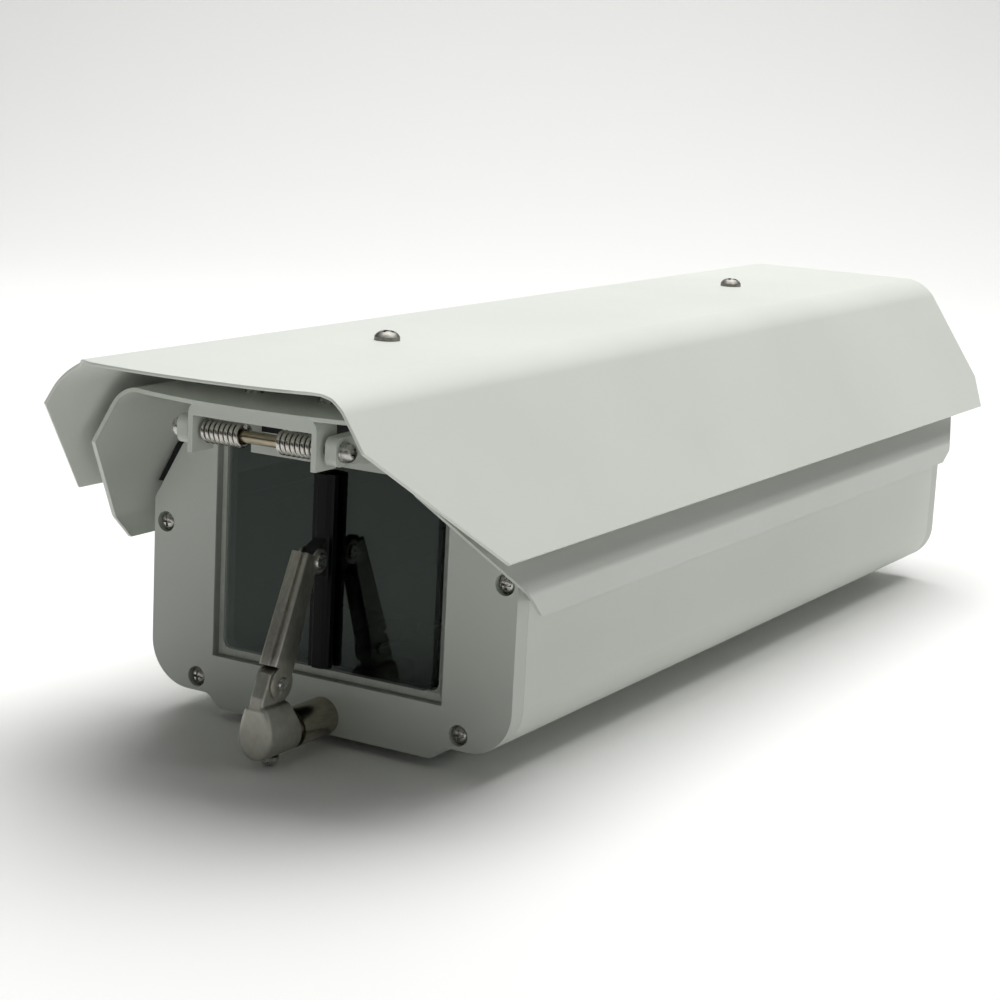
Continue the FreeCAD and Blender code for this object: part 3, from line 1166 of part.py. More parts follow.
def make_glands():
    for side, sign in SIDES.items():
        place = {"x": f"{sign} * gland_x", "y": BACK, "z": "gland_z"}
        inside = "(plate_thickness + gland_nut_height + 2)"
        body = new_body(f"gland_body_{side}")
        turn(body, "Y", [(f"-{inside}", "gland_bore"), (f"-{inside}", "gland_thread_radius"),
                         ("gland_flange + gland_neck", "gland_thread_radius"),
                         ("gland_flange + gland_neck", "gland_bore")])
        hexagon_corners = [(f"gland_flats / sqrt(3) * cos({angle})", f"gland_flats / sqrt(3) * sin({angle})")
                           for angle in range(0, 360, 60)]
        grow(body, "Y", "0", "gland_flange", outline(hexagon_corners), disc("0", "0", "gland_bore"))
        move_body(body, **place)
        nut = new_body(f"gland_nut_{side}")
        grow(nut, "Y", "-plate_thickness - gland_nut_height", "gland_nut_height", outline(hexagon_corners),
             disc("0", "0", "gland_thread_radius"))
        move_body(nut, **place)
        cap = new_body(f"gland_cap_{side}")
        low, high = "gland_flange", "(gland_flange + gland_cap_length)"
        turn(cap, "Y", [(low, "gland_thread_radius"), (low, "gland_flats / 2"),
                        (f"{high} - 7", "gland_flats / 2"), (f"{high} - 1.5", "gland_bore + 3"),
                        (high, "gland_bore + 2"), (high, "gland_bore"),
                        ("gland_flange + gland_neck + 3", "gland_bore"),
                        ("gland_flange + gland_neck + 0.2", "gland_thread_radius")])
        move_body(cap, **place)


def check_document():
    doc.recompute()
    failed = [item.Label for item in doc.Objects if {"Invalid", "Error"} & set(item.State)]
    failed += [item.Label for item in nodes if item.Shape.isNull() or not item.Shape.isValid()]
    if failed:
        raise RuntimeError(f"not built: {', '.join(failed)}")


def export_nodes():
    os.makedirs("parts", exist_ok=True)
    for item in nodes:
        item.Shape.exportStep(f"parts/{item.Label}.step")
        print(item.Label, len(item.Shape.Solids), round(item.Shape.Volume / 1000, 2), "cm3")
    print(len(nodes), "nodes")


fill_sheet()
make_case()
make_front_plate()
make_rear_plate()
make_plate_screws()
make_window()
make_rim_seals()
make_plate_seal("front_plate_seal", FRONT)
make_plate_seal("rear_plate_seal", f"{BACK} - plate_thickness")
make_base_plate()
make_cover()
make_shield()
make_shield_fixings()
make_yoke()
make_hinge_pin()
make_hinge_springs()
make_bracket()
make_lock()
make_bushing()
make_wiper_head()
rivet("arm_rivet", "arm_pivot_ahead", "arm_pivot_z", "arm_rivet_head_radius")
make_wiper_arm()
rivet("blade_rivet", "blade_pivot_ahead", "blade_pivot_z", "blade_rivet_head_radius")
make_blade()
make_wiper_drive()
make_tray()
make_heater()
make_fan()
make_board()
make_glands()
check_document()
export_nodes()
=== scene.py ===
# %% [markdown]
# # A security camera housing, dressed in Blender
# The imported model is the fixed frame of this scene: every solid stands where the drawing put it, in metres.
# This file is read from top to bottom. It sets up the view, makes one finish after another, gives each solid
# its finish, and models the few pieces that only matter to the eye.

# %% Load the frame
import math

import bpy
from mathutils import Matrix, Vector


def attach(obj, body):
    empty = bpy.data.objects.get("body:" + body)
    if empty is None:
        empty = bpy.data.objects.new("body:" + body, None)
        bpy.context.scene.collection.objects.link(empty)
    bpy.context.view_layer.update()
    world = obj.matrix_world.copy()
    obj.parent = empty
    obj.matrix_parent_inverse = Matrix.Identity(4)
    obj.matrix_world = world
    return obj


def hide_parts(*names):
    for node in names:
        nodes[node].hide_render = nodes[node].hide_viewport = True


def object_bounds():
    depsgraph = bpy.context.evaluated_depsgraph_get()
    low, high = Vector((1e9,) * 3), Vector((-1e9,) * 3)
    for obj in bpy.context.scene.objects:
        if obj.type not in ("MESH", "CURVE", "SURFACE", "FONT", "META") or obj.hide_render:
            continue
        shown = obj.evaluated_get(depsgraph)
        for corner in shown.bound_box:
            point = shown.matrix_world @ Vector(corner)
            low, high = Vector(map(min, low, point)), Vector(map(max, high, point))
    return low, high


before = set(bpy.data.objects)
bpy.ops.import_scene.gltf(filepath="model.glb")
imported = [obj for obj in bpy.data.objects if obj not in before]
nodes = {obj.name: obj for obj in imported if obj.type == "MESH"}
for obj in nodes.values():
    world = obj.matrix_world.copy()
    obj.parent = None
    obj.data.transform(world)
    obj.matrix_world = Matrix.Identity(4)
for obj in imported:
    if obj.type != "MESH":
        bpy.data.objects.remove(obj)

MM = 0.001
cad_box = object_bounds()

# %% [markdown]
# ## The camera
# The photograph is a close view of a product on a table. Its symmetric screws and folds gave the place of the
# lens: about 0.83 m from the window, 30 degrees to the right and slightly above. The numbers below are that
# place, and the three angles that the lens was turned by.

# %% Camera
def look(place, azimuth, elevation, roll):
    """The camera's matrix from the direction it looks along and its roll, in degrees."""
    a, e, r = (math.radians(v) for v in (azimuth, elevation, roll))
    back = Vector((math.sin(a) * math.cos(e), -math.cos(a) * math.cos(e), math.sin(e)))
    level = Vector((math.cos(a), math.sin(a), 0))
    upright = back.cross(level)
    right = level * math.cos(r) + upright * math.sin(r)
    up = upright * math.cos(r) - level * math.sin(r)
    matrix = Matrix((right, up, back)).transposed().to_4x4()
    matrix.translation = place
    return matrix


lens = bpy.data.cameras.new("product_lens")
lens.angle = math.radians(24.757)
camera = bpy.data.objects.new("product_camera", lens)
bpy.context.collection.objects.link(camera)
camera.matrix_world = look(Vector((0.4566, -0.87645, 0.2541)), 30.09, 11.46, 2.9)
bpy.context.scene.camera = camera
print("lens", round(lens.lens, 1), "mm at", [round(v, 3) for v in camera.location])

# %% [markdown]
# ## Working by hand
# Every new piece is made with the tools of Blender's edit mode, which act on what is selected. Two small
# functions select: one clears the selection, and one picks the points, edges or faces that lie in some place.

# %% Selecting
def deselect():
    """Leaves edit mode and selects nothing."""
    if bpy.context.object and bpy.context.object.mode != "OBJECT":
        bpy.ops.object.mode_set(mode="OBJECT")
    bpy.ops.object.select_all(action="DESELECT")


def pick(kind, test):
    """Selects the parts of one kind (verts, edges or faces) of the edited mesh that pass the test."""
    piece = bpy.context.object
    bpy.ops.mesh.select_mode(type={"verts": "VERT", "edges": "EDGE", "faces": "FACE"}[kind])
    bpy.ops.mesh.select_all(action="DESELECT")
    bpy.ops.object.mode_set(mode="OBJECT")
    data = piece.data
    for part in {"verts": data.vertices, "edges": data.edges, "faces": data.polygons}[kind]:
        if kind == "verts":
            part.select = test(part.co)
        elif kind == "edges":
            part.select = all(test(data.vertices[v].co) for v in part.vertices)
        else:
            part.select = test(part)
    bpy.ops.object.mode_set(mode="EDIT")


deselect()
print(len(bpy.context.selected_objects), "objects selected")

# %% [markdown]
# ## Floor and light
# A white table and one large soft light above it give the pale look of a product photograph, with a soft
# shadow. The table is a sheet of paper that rises behind the housing in a wide curve, called a sweep, so no
# edge shows in the picture. It is a plane with one edge pulled up and the corner rounded.

# %% Table and backdrop
lowest = cad_box[0][2]
bpy.ops.mesh.primitive_plane_add(size=6, location=(0, 0, lowest - 0.3 * MM), rotation=(0, 0, math.radians(30)))
backdrop = bpy.context.object
backdrop.name = "paper_sweep"
bpy.ops.object.mode_set(mode="EDIT")
pick("edges", lambda place: place.y > 2.9)
bpy.ops.mesh.extrude_region_move(TRANSFORM_OT_translate={"value": (0, 0, 4)})
pick("edges", lambda place: place.y > 2.9 and abs(place.z) < 0.1)
bpy.ops.mesh.bevel(offset=1.6, segments=16)
bpy.ops.object.mode_set(mode="OBJECT")
bpy.ops.object.shade_smooth()
bpy.ops.object.transform_apply(location=True, rotation=True, scale=True)
print("table at", round(lowest / MM, 1), "mm, sweep of", len(backdrop.data.polygons), "faces")

# %% [markdown]
# A softbox is a lamp behind a large white cloth, and here it is an area lamp. The larger the cloth, the softer
# the edge of the shadow. The top of the shield is the brightest face and the window plate lies in shade, so the
# main box hangs high above and a little behind the housing. The one at the right only lifts the long side, and
# a faint white world stands for the light that the studio's walls throw back.

# %% Lamps
def softbox(name, place, target, size, watts):
    """A square lamp at a place, turned towards its target. size is the length of its side in metres."""
    lamp = bpy.data.lights.new(name, "AREA")
    lamp.shape = "RECTANGLE"
    lamp.size = lamp.size_y = size
    lamp.energy = watts
    holder = bpy.data.objects.new(name, lamp)
    bpy.context.collection.objects.link(holder)
    holder.location = place
    holder.rotation_euler = (Vector(target) - Vector(place)).to_track_quat("-Z", "Y").to_euler()


softbox("ceiling_softbox", (-0.1, 0.5, 2.2), (0, 0.05, 0.1), 2.4, 74)
softbox("right_softbox", (2.2, 0.9, 0.9), (0, 0, 0.08), 1.2, 3.6)
world = bpy.data.worlds.new("studio")
world.use_nodes = True
sky = world.node_tree.nodes["Background"]
sky.inputs["Color"].default_value = (1, 1, 1, 1)
sky.inputs["Strength"].default_value = 0.11
bpy.context.scene.world = world
bpy.context.scene.view_settings.view_transform = "Standard"
print(len(bpy.data.lights), "lamps")

# %% [markdown]
# ## Making a finish
# Each finish starts from what the real surface is. Colours are written as the sRGB hex values that a colour
# chart gives, and one function turns them into the linear numbers that the renderer works with.

# %% Colours
def colour(text):
    """A linear colour from an sRGB hex value."""
    parts = [int(text[i:i + 2], 16) / 255 for i in (0, 2, 4)]
    linear = [v / 12.92 if v <= 0.04045 else ((v + 0.055) / 1.055) ** 2.4 for v in parts]
    return (*linear, 1)


print("white is", [round(v, 3) for v in colour("F1F2EC")])

# %% [markdown]
# A finish is a small tree of nodes that ends in one shader. One function adds a node of any kind and sets or
# links its inputs, and another starts the tree. The patterns read the object's own coordinates, in metres, so
# they stay on the piece when it moves.

# %% Shader nodes
def add_node(material, kind, settings=None, **inputs):
    """Adds a shader node. An input is a value, or a (node, output) pair that is linked to it."""
    tree = material.node_tree
    node = tree.nodes.new(kind)
    for name, value in (settings or {}).items():
        setattr(node, name, value)
    for name, value in inputs.items():
        socket = node.inputs[name.replace("_", " ")]
        if isinstance(value, tuple) and hasattr(value[0], "outputs"):
            tree.links.new(value[0].outputs[value[1]], socket)
        else:
            socket.default_value = value
    return node


def new_finish(name):
    """An empty material: its shader, its output and the object's own coordinates."""
    material = bpy.data.materials.new(name)
    material.use_nodes = True
    material.node_tree.nodes.clear()
    shader = add_node(material, "ShaderNodeBsdfPrincipled")
    add_node(material, "ShaderNodeOutputMaterial", Surface=(shader, "BSDF"))
    place = add_node(material, "ShaderNodeTexCoord")
    return material, shader, (place, "Object")


def link(material, source, shader, socket):
    """Joins a (node, output) pair to one of the shader's sockets."""
    material.node_tree.links.new(source[0].outputs[source[1]], shader.inputs[socket])


print("materials so far:", len(bpy.data.materials))

# %% [markdown]
# No real surface has one colour or one gloss all over. A noise with marks of the real width is spread between
# two near colours, and the same noise stirs the roughness.

# %% Noise into colour
def pattern_scale(width):
    """The scale of a noise whose marks are about width millimetres wide."""
    return 1 / (width * MM) / 2


def two_tone(material, noise, dark, light, low=0.35, high=0.65):
    """Spreads a noise between two colours."""
    ramp = add_node(material, "ShaderNodeValToRGB", Fac=(noise, "Fac"))
    ramp.color_ramp.elements[0].position = low
    ramp.color_ramp.elements[0].color = colour(dark)
    ramp.color_ramp.elements[1].position = high
    ramp.color_ramp.elements[1].color = colour(light)
    return (ramp, "Color")


def spread(material, noise, low, high):
    """Turns a noise into a number between low and high, such as a roughness."""
    node = add_node(material, "ShaderNodeMapRange", Value=(noise, "Fac"), To_Min=low, To_Max=high)
    return (node, "Result")


print("marks of 1 mm have the scale", round(pattern_scale(1)))

# %% [markdown]
# ## Powder coat
# The case, cover and shield are aluminium sprayed with dry paint powder and baked. The paint flows into a
# satin film with a fine orange peel, waves about a millimetre wide, and a slightly warm grey white. A noise
# of that size drives a faint bump and the roughness, and a much wider one stirs the colour by a shade.

# %% Powder coats
def powder_coat(name, dark, light, peel=1.1, roughness=0.42, depth=0.05):
    """A satin sprayed finish. peel is the width of its waves in millimetres."""
    material, shader, place = new_finish(name)
    clouds = add_node(material, "ShaderNodeTexNoise", Vector=place, Scale=9.0, Detail=3.0)
    link(material, two_tone(material, clouds, dark, light), shader, "Base Color")
    waves = add_node(material, "ShaderNodeTexNoise", Vector=place, Scale=pattern_scale(peel), Detail=2.0)
    link(material, spread(material, waves, roughness - 0.05, roughness + 0.06), shader, "Roughness")
    bump = add_node(material, "ShaderNodeBump", Height=(waves, "Fac"), Strength=depth, Distance=0.2 * MM)
    link(material, (bump, "Normal"), shader, "Normal")
    shader.inputs["IOR"].default_value = 1.5
    return material


shield_coat = powder_coat("white_powder_coat", "D5D9D2", "DADED6")
cover_coat = powder_coat("cover_powder_coat", "C2C7BF", "C7CBC4")
case_coat = powder_coat("case_powder_coat", "CBD0C8", "CFD4CC")
plate_coat = powder_coat("plate_powder_coat", "BEC2BB", "C4C8C0", peel=0.8, depth=0.08)
print("powder coats ready")

# %% [markdown]
# The inside of the case is painted near black. This is painted shade: the dark of the closed box, which gets
# light only through the window. One material can hold both colours: on the inside, each face looks back towards
# the middle line of the case, so the dot product of its normal and its distance from that line is negative.

# %% Painted shade inside
def paint_shade_inside(material, middle_z):
    """Paints shade, a near black, on the faces that look towards the line at x = 0 and the height middle_z, in
    metres.
    """
    tree = material.node_tree
    shader = next(node for node in tree.nodes if node.type == "BSDF_PRINCIPLED")
    outside = shader.inputs["Base Color"].links[0].from_socket
    place = add_node(material, "ShaderNodeTexCoord")
    spoke = add_node(material, "ShaderNodeMapping", Vector=(place, "Object"), Location=(0, 0, -middle_z),
                     Scale=(1, 0, 1))
    facing = add_node(material, "ShaderNodeVectorMath", {"operation": "DOT_PRODUCT"})
    tree.links.new(place.outputs["Normal"], facing.inputs[0])
    tree.links.new(spoke.outputs["Vector"], facing.inputs[1])
    shade_mask = add_node(material, "ShaderNodeMath", {"operation": "LESS_THAN"})
    tree.links.new(facing.outputs["Value"], shade_mask.inputs[0])
    shade_mask.inputs[1].default_value = -0.001
    # A Mix node of colours has its two colours at the inputs 6 and 7, and its result at the output 2.
    choice = add_node(material, "ShaderNodeMix", {"data_type": "RGBA"})
    tree.links.new(shade_mask.outputs["Value"], choice.inputs["Factor"])
    tree.links.new(outside, choice.inputs[6])
    # The near black at input 7 is the painted shade of the inside.
    choice.inputs[7].default_value = colour("1B1C1C")
    tree.links.new(choice.outputs[2], shader.inputs["Base Color"])


paint_shade_inside(case_coat, 40 * MM)
print("case coat has", len(case_coat.node_tree.nodes), "nodes")

# %% [markdown]
# ## Metals
# Screws, pin and springs are bare stainless steel, drawn or cold headed, so they are bright with fine marks.
# The wiper's head is a nickel-plated casting with a soft satin skin, and its arm is pressed sheet of the same
# plating. A metal's colour is its reflection, so it goes in the base colour, and roughness says how it was
# finished.

# %% Metals
def bare_metal(name, dark, light, roughness, grain=0.6, depth=0.04, stretch=(1, 1, 1)):
    """A metal skin with marks about grain millimetres wide, drawn out along an axis by stretch."""
    material, shader, place = new_finish(name)
    turned = add_node(material, "ShaderNodeMapping", Vector=place, Scale=stretch)
    marks = add_node(material, "ShaderNodeTexNoise", Vector=(turned, "Vector"), Scale=pattern_scale(grain),
                     Detail=4.0)
    link(material, two_tone(material, marks, dark, light), shader, "Base Color")
    link(material, spread(material, marks, roughness - 0.07, roughness + 0.09), shader, "Roughness")
    bump = add_node(material, "ShaderNodeBump", Height=(marks, "Fac"), Strength=depth, Distance=0.1 * MM)
    link(material, (bump, "Normal"), shader, "Normal")
    shader.inputs["Metallic"].default_value = 1.0
    return material


stainless = bare_metal("stainless_steel", "A9A8A4", "C4C3BF", 0.27)
dulled_steel = bare_metal("dulled_stainless_steel", "7E7D77", "96948D", 0.42, grain=0.8, depth=0.08)
spring_wire = bare_metal("polished_spring_wire", "B4B1AA", "CFCDC8", 0.18, grain=0.3)
nickel_casting = bare_metal("satin_nickel_casting", "B4B3AA", "C2C1B8", 0.46, grain=1.5, depth=0.06)
nickel_tube = bare_metal("turned_nickel", "A39D8E", "B8B2A4", 0.2, grain=0.25, stretch=(1, 0.1, 1))
bronzed_rod = bare_metal("passivated_rod", "8F8672", "A59C86", 0.22, grain=0.3, stretch=(0.1, 1, 1))
nickel_sheet = bare_metal("satin_nickel_sheet", "ABA9A0", "BAB8AF", 0.42, grain=0.5, depth=0.05,
                          stretch=(1, 1, 0.3))
zinc_plate = bare_metal("zinc_plated_steel", "9EA3A8", "B9BEC2", 0.38, grain=3)
# The camera tray gets a near black coat as painted shade, for the dark inside of the closed box.
tray_painted_shade = powder_coat("tray_painted_shade_coat", "1A1B1B", "202121", peel=0.8, roughness=0.5)
mill_aluminium = bare_metal("mill_aluminium", "B6B8BA", "C6C8CA", 0.36, grain=0.8, stretch=(1, 0.05, 1))
print("metals ready")

# %% [markdown]
# ## The glass
# The window is ordinary float glass, a little green through its edge. A near black, mostly opaque layer is
# painted on it: painted shade, for the dark inside of the housing seen through it. The painted shade is cut to
# a rectangle with rounded corners and stops short of the rim, so the pale seat shows through there.
# The mask folds the pane onto one quarter, and measures how far a point lies outside the rectangle that joins
# the middles of the four round corners.

# %% Glass
def window_pane(name, shade_opacity, half, middle_z, corner):
    """A clear sheet with a near black painted shade on it. The second argument says how opaque the painted
    shade is.
    The shade's half width and half height, the height of its middle and the radius of its corners are in
    millimetres."""
    material, shader, place = new_finish(name)
    centred = add_node(material, "ShaderNodeMapping", Vector=place, Location=(0, 0, -middle_z * MM),
                       Scale=(1, 0, 1))
    point = (centred, "Vector")
    for operation in ("ABSOLUTE", "SUBTRACT", "MAXIMUM"):
        step = add_node(material, "ShaderNodeVectorMath", {"operation": operation}, Vector=point)
        if operation == "SUBTRACT":
            step.inputs[1].default_value = ((half[0] - corner) * MM, 0, (half[1] - corner) * MM)
        point = (step, "Vector")
    reach = add_node(material, "ShaderNodeVectorMath", {"operation": "LENGTH"}, Vector=point)
    shade_alpha = add_node(material, "ShaderNodeMapRange", Value=(reach, "Value"), From_Min=corner * MM,
                    From_Max=(corner + 0.1) * MM, To_Min=shade_opacity, To_Max=0.1)
    link(material, (shade_alpha, "Result"), shader, "Alpha")
    dust = add_node(material, "ShaderNodeTexNoise", Vector=place, Scale=1500.0, Detail=2.0)
    # The base colour is the near black of the painted shade, with pale dust specks on it.
    link(material, two_tone(material, dust, "040505", "5C625E", low=0.72, high=0.8), shader, "Base Color")
    smear = add_node(material, "ShaderNodeTexNoise", Vector=place, Scale=60.0, Detail=4.0)
    link(material, spread(material, smear, 0.01, 0.05), shader, "Roughness")
    shader.inputs["IOR"].default_value = 1.52
    shader.inputs["Specular Tint"].default_value = colour("E2F4EA")
    return material


glass_with_painted_shade = window_pane("glass_with_painted_shade", shade_opacity=0.72, half=(46.4, 40.6), middle_z=65, corner=4)
print("glass has", len(glass_with_painted_shade.node_tree.nodes), "nodes")

# %% [markdown]
# ## Rubber and plastics
# The seals are black sponge rubber with a fine pitted skin, and the wiper's blade is black too. The window's
# seat is a pale silicone bed. The lock knob, fan and gearbox are moulded nylon, the glands a lighter grey one.
# A mould is spark eroded, so its parts come out with a fine even grain, and one function makes them all.

# %% Rubber and moulded plastics
def moulded(name, dark, light, roughness=0.5, grain=0.5, depth=0.15, ior=1.5, gloss=0.5):
    """A moulded skin: grain is the width of its texture in millimetres."""
    material, shader, place = new_finish(name)
    skin = add_node(material, "ShaderNodeTexNoise", Vector=place, Scale=pattern_scale(grain), Detail=3.0)
    link(material, two_tone(material, skin, dark, light), shader, "Base Color")
    link(material, spread(material, skin, roughness - 0.06, roughness + 0.08), shader, "Roughness")
    bump = add_node(material, "ShaderNodeBump", Height=(skin, "Fac"), Strength=depth, Distance=0.1 * MM)
    link(material, (bump, "Normal"), shader, "Normal")
    shader.inputs["IOR"].default_value = ior
    shader.inputs["Specular IOR Level"].default_value = gloss
    return material


sponge_rubber = moulded("black_sponge_rubber", "0B0B0B", "191919", 0.85, grain=0.4, depth=0.4)
blade_rubber = moulded("moulded_blade_rubber", "050505", "090909", 0.5, grain=0.3, depth=0.1, gloss=0.12)
silicone_bed = moulded("silicone_bed", "DCE1D5", "E6EAE0", 0.45, grain=2, depth=0.1, ior=1.41)
black_nylon = moulded("black_nylon", "131415", "1C1D1E", 0.48)
black_blade = moulded("black_blade_holder", "050606", "080909", 0.36, grain=0.4, depth=0.06, gloss=0.12)
grey_nylon = moulded("grey_nylon", "9A9D9F", "A6A9AB", 0.45)
green_plastic = moulded("green_terminal_plastic", "2F7E3E", "388A47", 0.4)
green_laminate = moulded("lacquered_board", "1D5B37", "246A41", 0.25, grain=4, depth=0.03)
print("rubber and plastics ready")

# %% [markdown]
# ## Dressing the solids
# Each solid keeps its place and its shape, and only its material slots change. The pan screws on the shield
# stand in the weather, so they are duller than the ones under cover.

# %% Finish of each solid
finishes = {
    shield_coat: ["sun_shield"],
    cover_coat: ["cover_shell", "lock_tab", "hinge_bracket"],
    case_coat: ["case_body"],
    plate_coat: ["front_plate", "rear_plate", "hinge_yoke"],
    dulled_steel: ["shield_screws"],
    stainless: ["front_plate_screws", "rear_plate_screws", "shield_nuts", "shield_spacers",
                "hinge_bracket_screws", "hinge_yoke_screws", "hinge_pin_screws", "hinge_pin_washers",
                "lock_tab_screws", "arm_rivet", "blade_rivet", "wiper_shaft", "wiper_head_screw",
                "drive_screws", "tray_screws", "board_screws", "camera_screw"],
    spring_wire: ["hinge_spring_left", "hinge_spring_right"],
    nickel_casting: ["wiper_head"],
    nickel_tube: ["wiper_bushing"],
    bronzed_rod: ["hinge_pin"],
    nickel_sheet: ["wiper_arm"],
    zinc_plate: ["base_plate", "drive_bracket", "wiper_motor"],
    tray_painted_shade: ["camera_tray"],
    mill_aluminium: ["heater_block", "tray_pillars", "board_pillars"],
    glass_with_painted_shade: ["window_glass"],
    silicone_bed: ["window_gasket"],
    sponge_rubber: ["rim_seal_left", "rim_seal_right", "front_plate_seal", "rear_plate_seal"],
    blade_rubber: ["blade_rubber"],
    black_blade: ["blade_holder"],
    black_nylon: ["wiper_gearbox", "fan_frame", "fan_rotor", "lock_knob", "blade_clip"],
    grey_nylon: [f"gland_{piece}_{side}" for piece in ("body", "nut", "cap") for side in ("left", "right")],
    green_plastic: ["terminal_block"],
    green_laminate: ["terminal_board"],
}
for material, names in finishes.items():
    for name in names:
        for slot in nodes[name].material_slots:
            slot.material = material
dressed = {name for names in finishes.values() for name in names}
print("undressed:", sorted(set(nodes) - dressed))

# %% [markdown]
# The sweep is a sheet of matt white paper, and only its pale colour and its soft shine matter.

# %% Paper of the sweep
paper, paper_shader, _ = new_finish("white_paper")
paper_shader.inputs["Base Color"].default_value = colour("FAFAF8")
paper_shader.inputs["Roughness"].default_value = 0.9
backdrop.data.materials.append(paper)
print("sweep papered")

# %% [markdown]
# ## Soft edges
# A baked coat is a tenth of a millimetre thick and draws back from sharp corners, and a press leaves a small
# roll on cut sheet, so every edge of the real housing catches a thin line of light. A copy of the solid gets
# that edge. The solid is made of loose triangles, so the copy's points are merged first, and the triangles of
# each flat face are joined up again.

# %% Copies and modifiers
def copy_of(node_name, name):
    """A merged copy of a solid, whose flat faces are one face each again."""
    deselect()
    source = nodes[node_name]
    source.select_set(True)
    bpy.context.view_layer.objects.active = source
    bpy.ops.object.duplicate()
    piece = bpy.context.object
    piece.name = name
    bpy.ops.object.mode_set(mode="EDIT")
    bpy.ops.mesh.select_all(action="SELECT")
    bpy.ops.mesh.remove_doubles(threshold=0.000002)
    bpy.ops.mesh.dissolve_limited(angle_limit=math.radians(0.5))
    bpy.ops.object.mode_set(mode="OBJECT")
    return piece


def add_modifier(kind, **values):
    """Adds a modifier to the active piece and applies it."""
    bpy.ops.object.modifier_add(type=kind)
    modifier = bpy.context.object.modifiers[-1]
    for name, value in values.items():
        setattr(modifier, name, value)
    bpy.ops.object.modifier_apply(modifier=modifier.name)


print("solids to copy from:", len(nodes))

# %% [markdown]
# A bevel rounds each edge that is sharper than 35 degrees. Weighted normals then let the large flat faces
# decide the shading, so they stay flat right up to the narrow round.

# %% Rounded edges
def round_edges(piece, node_name, body, width):
    """Rounds the sharp edges of a copy and lets it stand in for its solid. width is in millimetres."""
    add_modifier("BEVEL", width=width * MM, segments=2, limit_method="ANGLE", angle_limit=math.radians(35))
    bpy.ops.object.shade_smooth_by_angle(angle=math.radians(30))
    add_modifier("WEIGHTED_NORMAL", keep_sharp=True)
    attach(piece, body)
    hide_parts(node_name)
    print(piece.name, len(piece.data.polygons), "faces")


edge_widths = (("cover_shell", "cover", 0.5), ("hinge_bracket", "cover", 0.4), ("lock_tab", "cover", 0.4),
               ("front_plate", "case", 0.4), ("rear_plate", "case", 0.4))
for node_name, body, width in edge_widths:
    round_edges(copy_of(node_name, f"{node_name}_edged"), node_name, body, width)

# %% [markdown]
# ## The hinge's strip
# The strip that carries the pin reaches down to the window. The copy's lower edge is pulled down, and its front
# faces above a given height get the black sponge, so the band between the strip and the cover shows black.

# %% Strip and black band
def cut(point, normal):
    """Cuts the whole edited mesh along a plane."""
    bpy.ops.mesh.select_all(action="SELECT")
    bpy.ops.mesh.bisect(plane_co=point, plane_no=normal)


black_band_foot, edge_drop = 109.4 * MM, 4.4 * MM
strip = copy_of("hinge_yoke", "hinge_yoke_edged")
bpy.ops.object.mode_set(mode="EDIT")
cut((0, 0, black_band_foot), (0, 0, 1))
pick("verts", lambda place: place.z < 105.9 * MM and place.y > -214 * MM)
bpy.ops.transform.translate(value=(0, 0, -edge_drop))
pick("faces", lambda face: face.normal.y < -0.9 and face.center.z > black_band_foot and face.center.y > -215 * MM)
strip.data.materials.append(sponge_rubber)
strip.active_material_index = len(strip.data.materials) - 1
bpy.ops.object.material_slot_assign()
bpy.ops.object.mode_set(mode="OBJECT")
round_edges(strip, "hinge_yoke", "case", 0.5)
print("strip's edge lowered by", round(edge_drop / MM, 1), "mm")

# %% [markdown]
# ## The sun shield
# The shield is one sheet of aluminium, sheared to an outline and folded twice. Here its middle line is drawn
# as the press makes it: an edge as long as the housing is extruded once for each flat, and the two folds are
# rounded. The photograph shows a fuller curve at the left fold than at the right one. A round of some radius
# starts at a distance of that radius times the tangent of half the fold's angle, which is fold_factor.

# %% Sheet and folds
deselect()
bpy.ops.mesh.primitive_plane_add(size=1)
shield = bpy.context.object
shield.name = "sun_shield_sheet"
bpy.ops.object.mode_set(mode="EDIT")
pick("verts", lambda place: place.x > 0)
bpy.ops.mesh.delete(type="VERT")
foot_x, foot_z = -93.1 * MM, 83.9 * MM
flank_run, flank_rise, roof_width = 40 * MM, 59.1 * MM, 106.2 * MM
shield_front, shield_rear = -289.5 * MM, 243.25 * MM
fold_factor = 0.5308
pick("verts", lambda place: place.y < 0)
bpy.ops.transform.translate(value=(0.5 + foot_x, shield_front + 0.5, foot_z))
pick("verts", lambda place: place.y > 0.4)
bpy.ops.transform.translate(value=(0.5 + foot_x, shield_rear - 0.5, foot_z))
bpy.ops.mesh.select_mode(type="EDGE")
bpy.ops.mesh.select_all(action="SELECT")
for step in ((flank_run, 0, flank_rise), (roof_width, 0, 0), (flank_run, 0, -flank_rise)):
    bpy.ops.mesh.extrude_region_move(TRANSFORM_OT_translate={"value": step})
for side, radius, segments in ((-1, 30, 16), (1, 18, 12)):
    pick("edges", lambda place: place.z > 142 * MM and place.x * side > 50 * MM)
    bpy.ops.mesh.bevel(offset=fold_factor * radius * MM, segments=segments, profile=0.5)
for x in (-34, -24, -15, -7, 0, 7, 15, 23, 30, 38):
    cut((x * MM, 0, 0), (1, 0, 0))
for z in (96.9, 124):
    cut((0, 0, z * MM), (0, 0, 1))
bpy.ops.object.mode_set(mode="OBJECT")
print("sheet of", len(shield.data.vertices), "points")

# %% [markdown]
# The front of the sheet is sheared to a line that bulges in the middle of the roof and runs back down each
# flank. Each point of the front row is pulled to that line, and then the sheet gets its thickness.

# %% Sheared outline
def along(table, x):
    """The y of a table of (x, y) points at x, in millimetres, with straight lines between the points."""
    for (x0, y0), (x1, y1) in zip(table, table[1:]):
        if x0 <= x <= x1:
            return y0 + (y1 - y0) * (x - x0) / (x1 - x0)


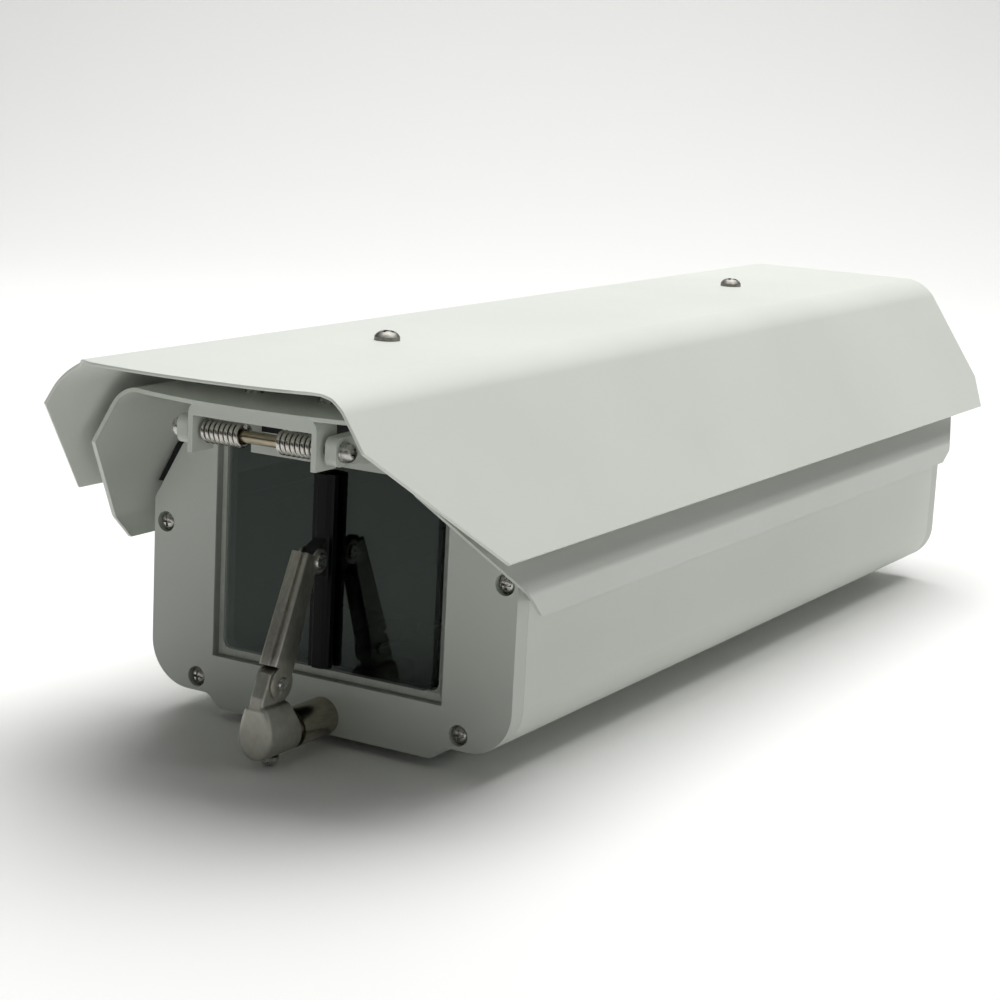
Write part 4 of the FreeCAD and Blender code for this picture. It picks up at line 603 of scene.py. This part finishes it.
# The nose line gives y over x across the roof, and the flank line gives y over z down each flank.
nose_line = ((-94, -289.5), (-50, -289.5), (-46, -294), (-42, -298), (-38, -301.2), (-34, -303), (-24, -304.2),
             (-15, -305), (0, -305.5), (15, -305), (30, -303.6), (38, -302.6), (44, -301.2), (46.5, -299),
             (48.5, -295), (50.5, -291), (53, -289), (94, -289))
flank_line = ((83.9, -240.15), (124, -289.3))
points = sorted({(round(v.co.x, 6), round(v.co.z, 6)) for v in shield.data.vertices if v.co.y < 0})
bpy.ops.object.mode_set(mode="EDIT")
for x, z in points:
    goal = along(flank_line, z / MM) if z < 124 * MM else along(nose_line, x / MM)
    pick("verts", lambda place: place.y < 0 and abs(place.x - x) < 2e-6 and abs(place.z - z) < 2e-6)
    bpy.ops.transform.translate(value=(0, goal * MM - shield_front, 0))
pick("verts", lambda place: place.y > 0 and place.z < 84 * MM)
bpy.ops.transform.translate(value=(0, -12.6 * MM, 0))
bpy.ops.object.mode_set(mode="OBJECT")
add_modifier("SOLIDIFY", thickness=1.2 * MM, offset=1)
shield.data.materials.append(shield_coat)
round_edges(shield, "sun_shield", "cover", 0.35)
print("shield from", [round(min(v.co[i] for v in shield.data.vertices) / MM, 1) for i in range(3)])

# %% [markdown]
# ## The wiper arm
# The arm is one strip of sheet, pressed into a channel and nickel plated. A press also draws a deep groove
# along its face, which makes the thin sheet stiff, so the face shows a flat, a valley and a ridge. A copy of
# the drawn channel is cut along lines beside the groove, and the points between them are pushed in.

# %% Pressed arm
arm_pivot = Vector((0, -241.75 * MM, 26.4 * MM))
lean = math.radians(25.04)
arm_back = Vector((0, math.cos(lean), -math.sin(lean)))
arm_up = Vector((0, math.sin(lean), math.cos(lean)))
groove_foot, groove_depth = 9 * MM, 0.85 * MM
arm = copy_of("wiper_arm", "pressed_arm")
bpy.ops.object.mode_set(mode="EDIT")
for x in (0.5, 0.95, 1.9, 2.35):
    cut((x * MM, 0, 0), (1, 0, 0))
cut(arm_pivot + arm_up * groove_foot, arm_up)
pick("verts", lambda place: 0.9 * MM < place.x < 1.95 * MM and (place - arm_pivot).dot(arm_back) < -5.9 * MM
     and (place - arm_pivot).dot(arm_up) > groove_foot - 0.01 * MM)
bpy.ops.transform.translate(value=arm_back * groove_depth)
bpy.ops.object.mode_set(mode="OBJECT")
add_modifier("BEVEL", width=0.16 * MM, segments=2, limit_method="ANGLE", angle_limit=math.radians(32))
bpy.ops.object.shade_smooth_by_angle(angle=math.radians(40))
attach(arm, "arm")
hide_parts("wiper_arm")
print("arm of", len(arm.data.polygons), "faces")

# %% [markdown]
# ## The blade's holder
# The rubber of the wiper sits in a black extruded holder, a little wider than the clip that the arm is riveted
# to. The copy is widened about its own middle, so that the blade looks as broad as on the real one.

# %% Blade holder
holder = copy_of("blade_holder", "blade_holder_edged")
across = [corner.co.x for corner in holder.data.vertices]
holder_middle = (min(across) + max(across)) / 2
widening = 1.28
bpy.ops.object.mode_set(mode="EDIT")
bpy.ops.mesh.select_all(action="SELECT")
bpy.ops.transform.resize(value=(widening, 1, 1), center_override=(holder_middle, 0, 0))
bpy.ops.object.mode_set(mode="OBJECT")
print("holder", round((max(across) - min(across)) * widening / MM, 1), "mm wide")
round_edges(holder, "blade_holder", "blade", 0.15)

# %% [markdown]
# ## The wiper head
# The head is die cast, tumbled and plated, so it has no sharp edge anywhere and its neck flows into its
# shoulders. A voxel remesh turns the drawn block into an even skin of small squares, and smoothing that skin
# rounds it as tumbling does.

# %% Cast head
head = copy_of("wiper_head", "cast_head")
add_modifier("REMESH", mode="VOXEL", voxel_size=0.36 * MM)
add_modifier("SMOOTH", factor=0.5, iterations=13)
bpy.ops.object.shade_smooth()
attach(head, "wiper")
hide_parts("wiper_head")
print("head of", len(head.data.polygons), "faces")
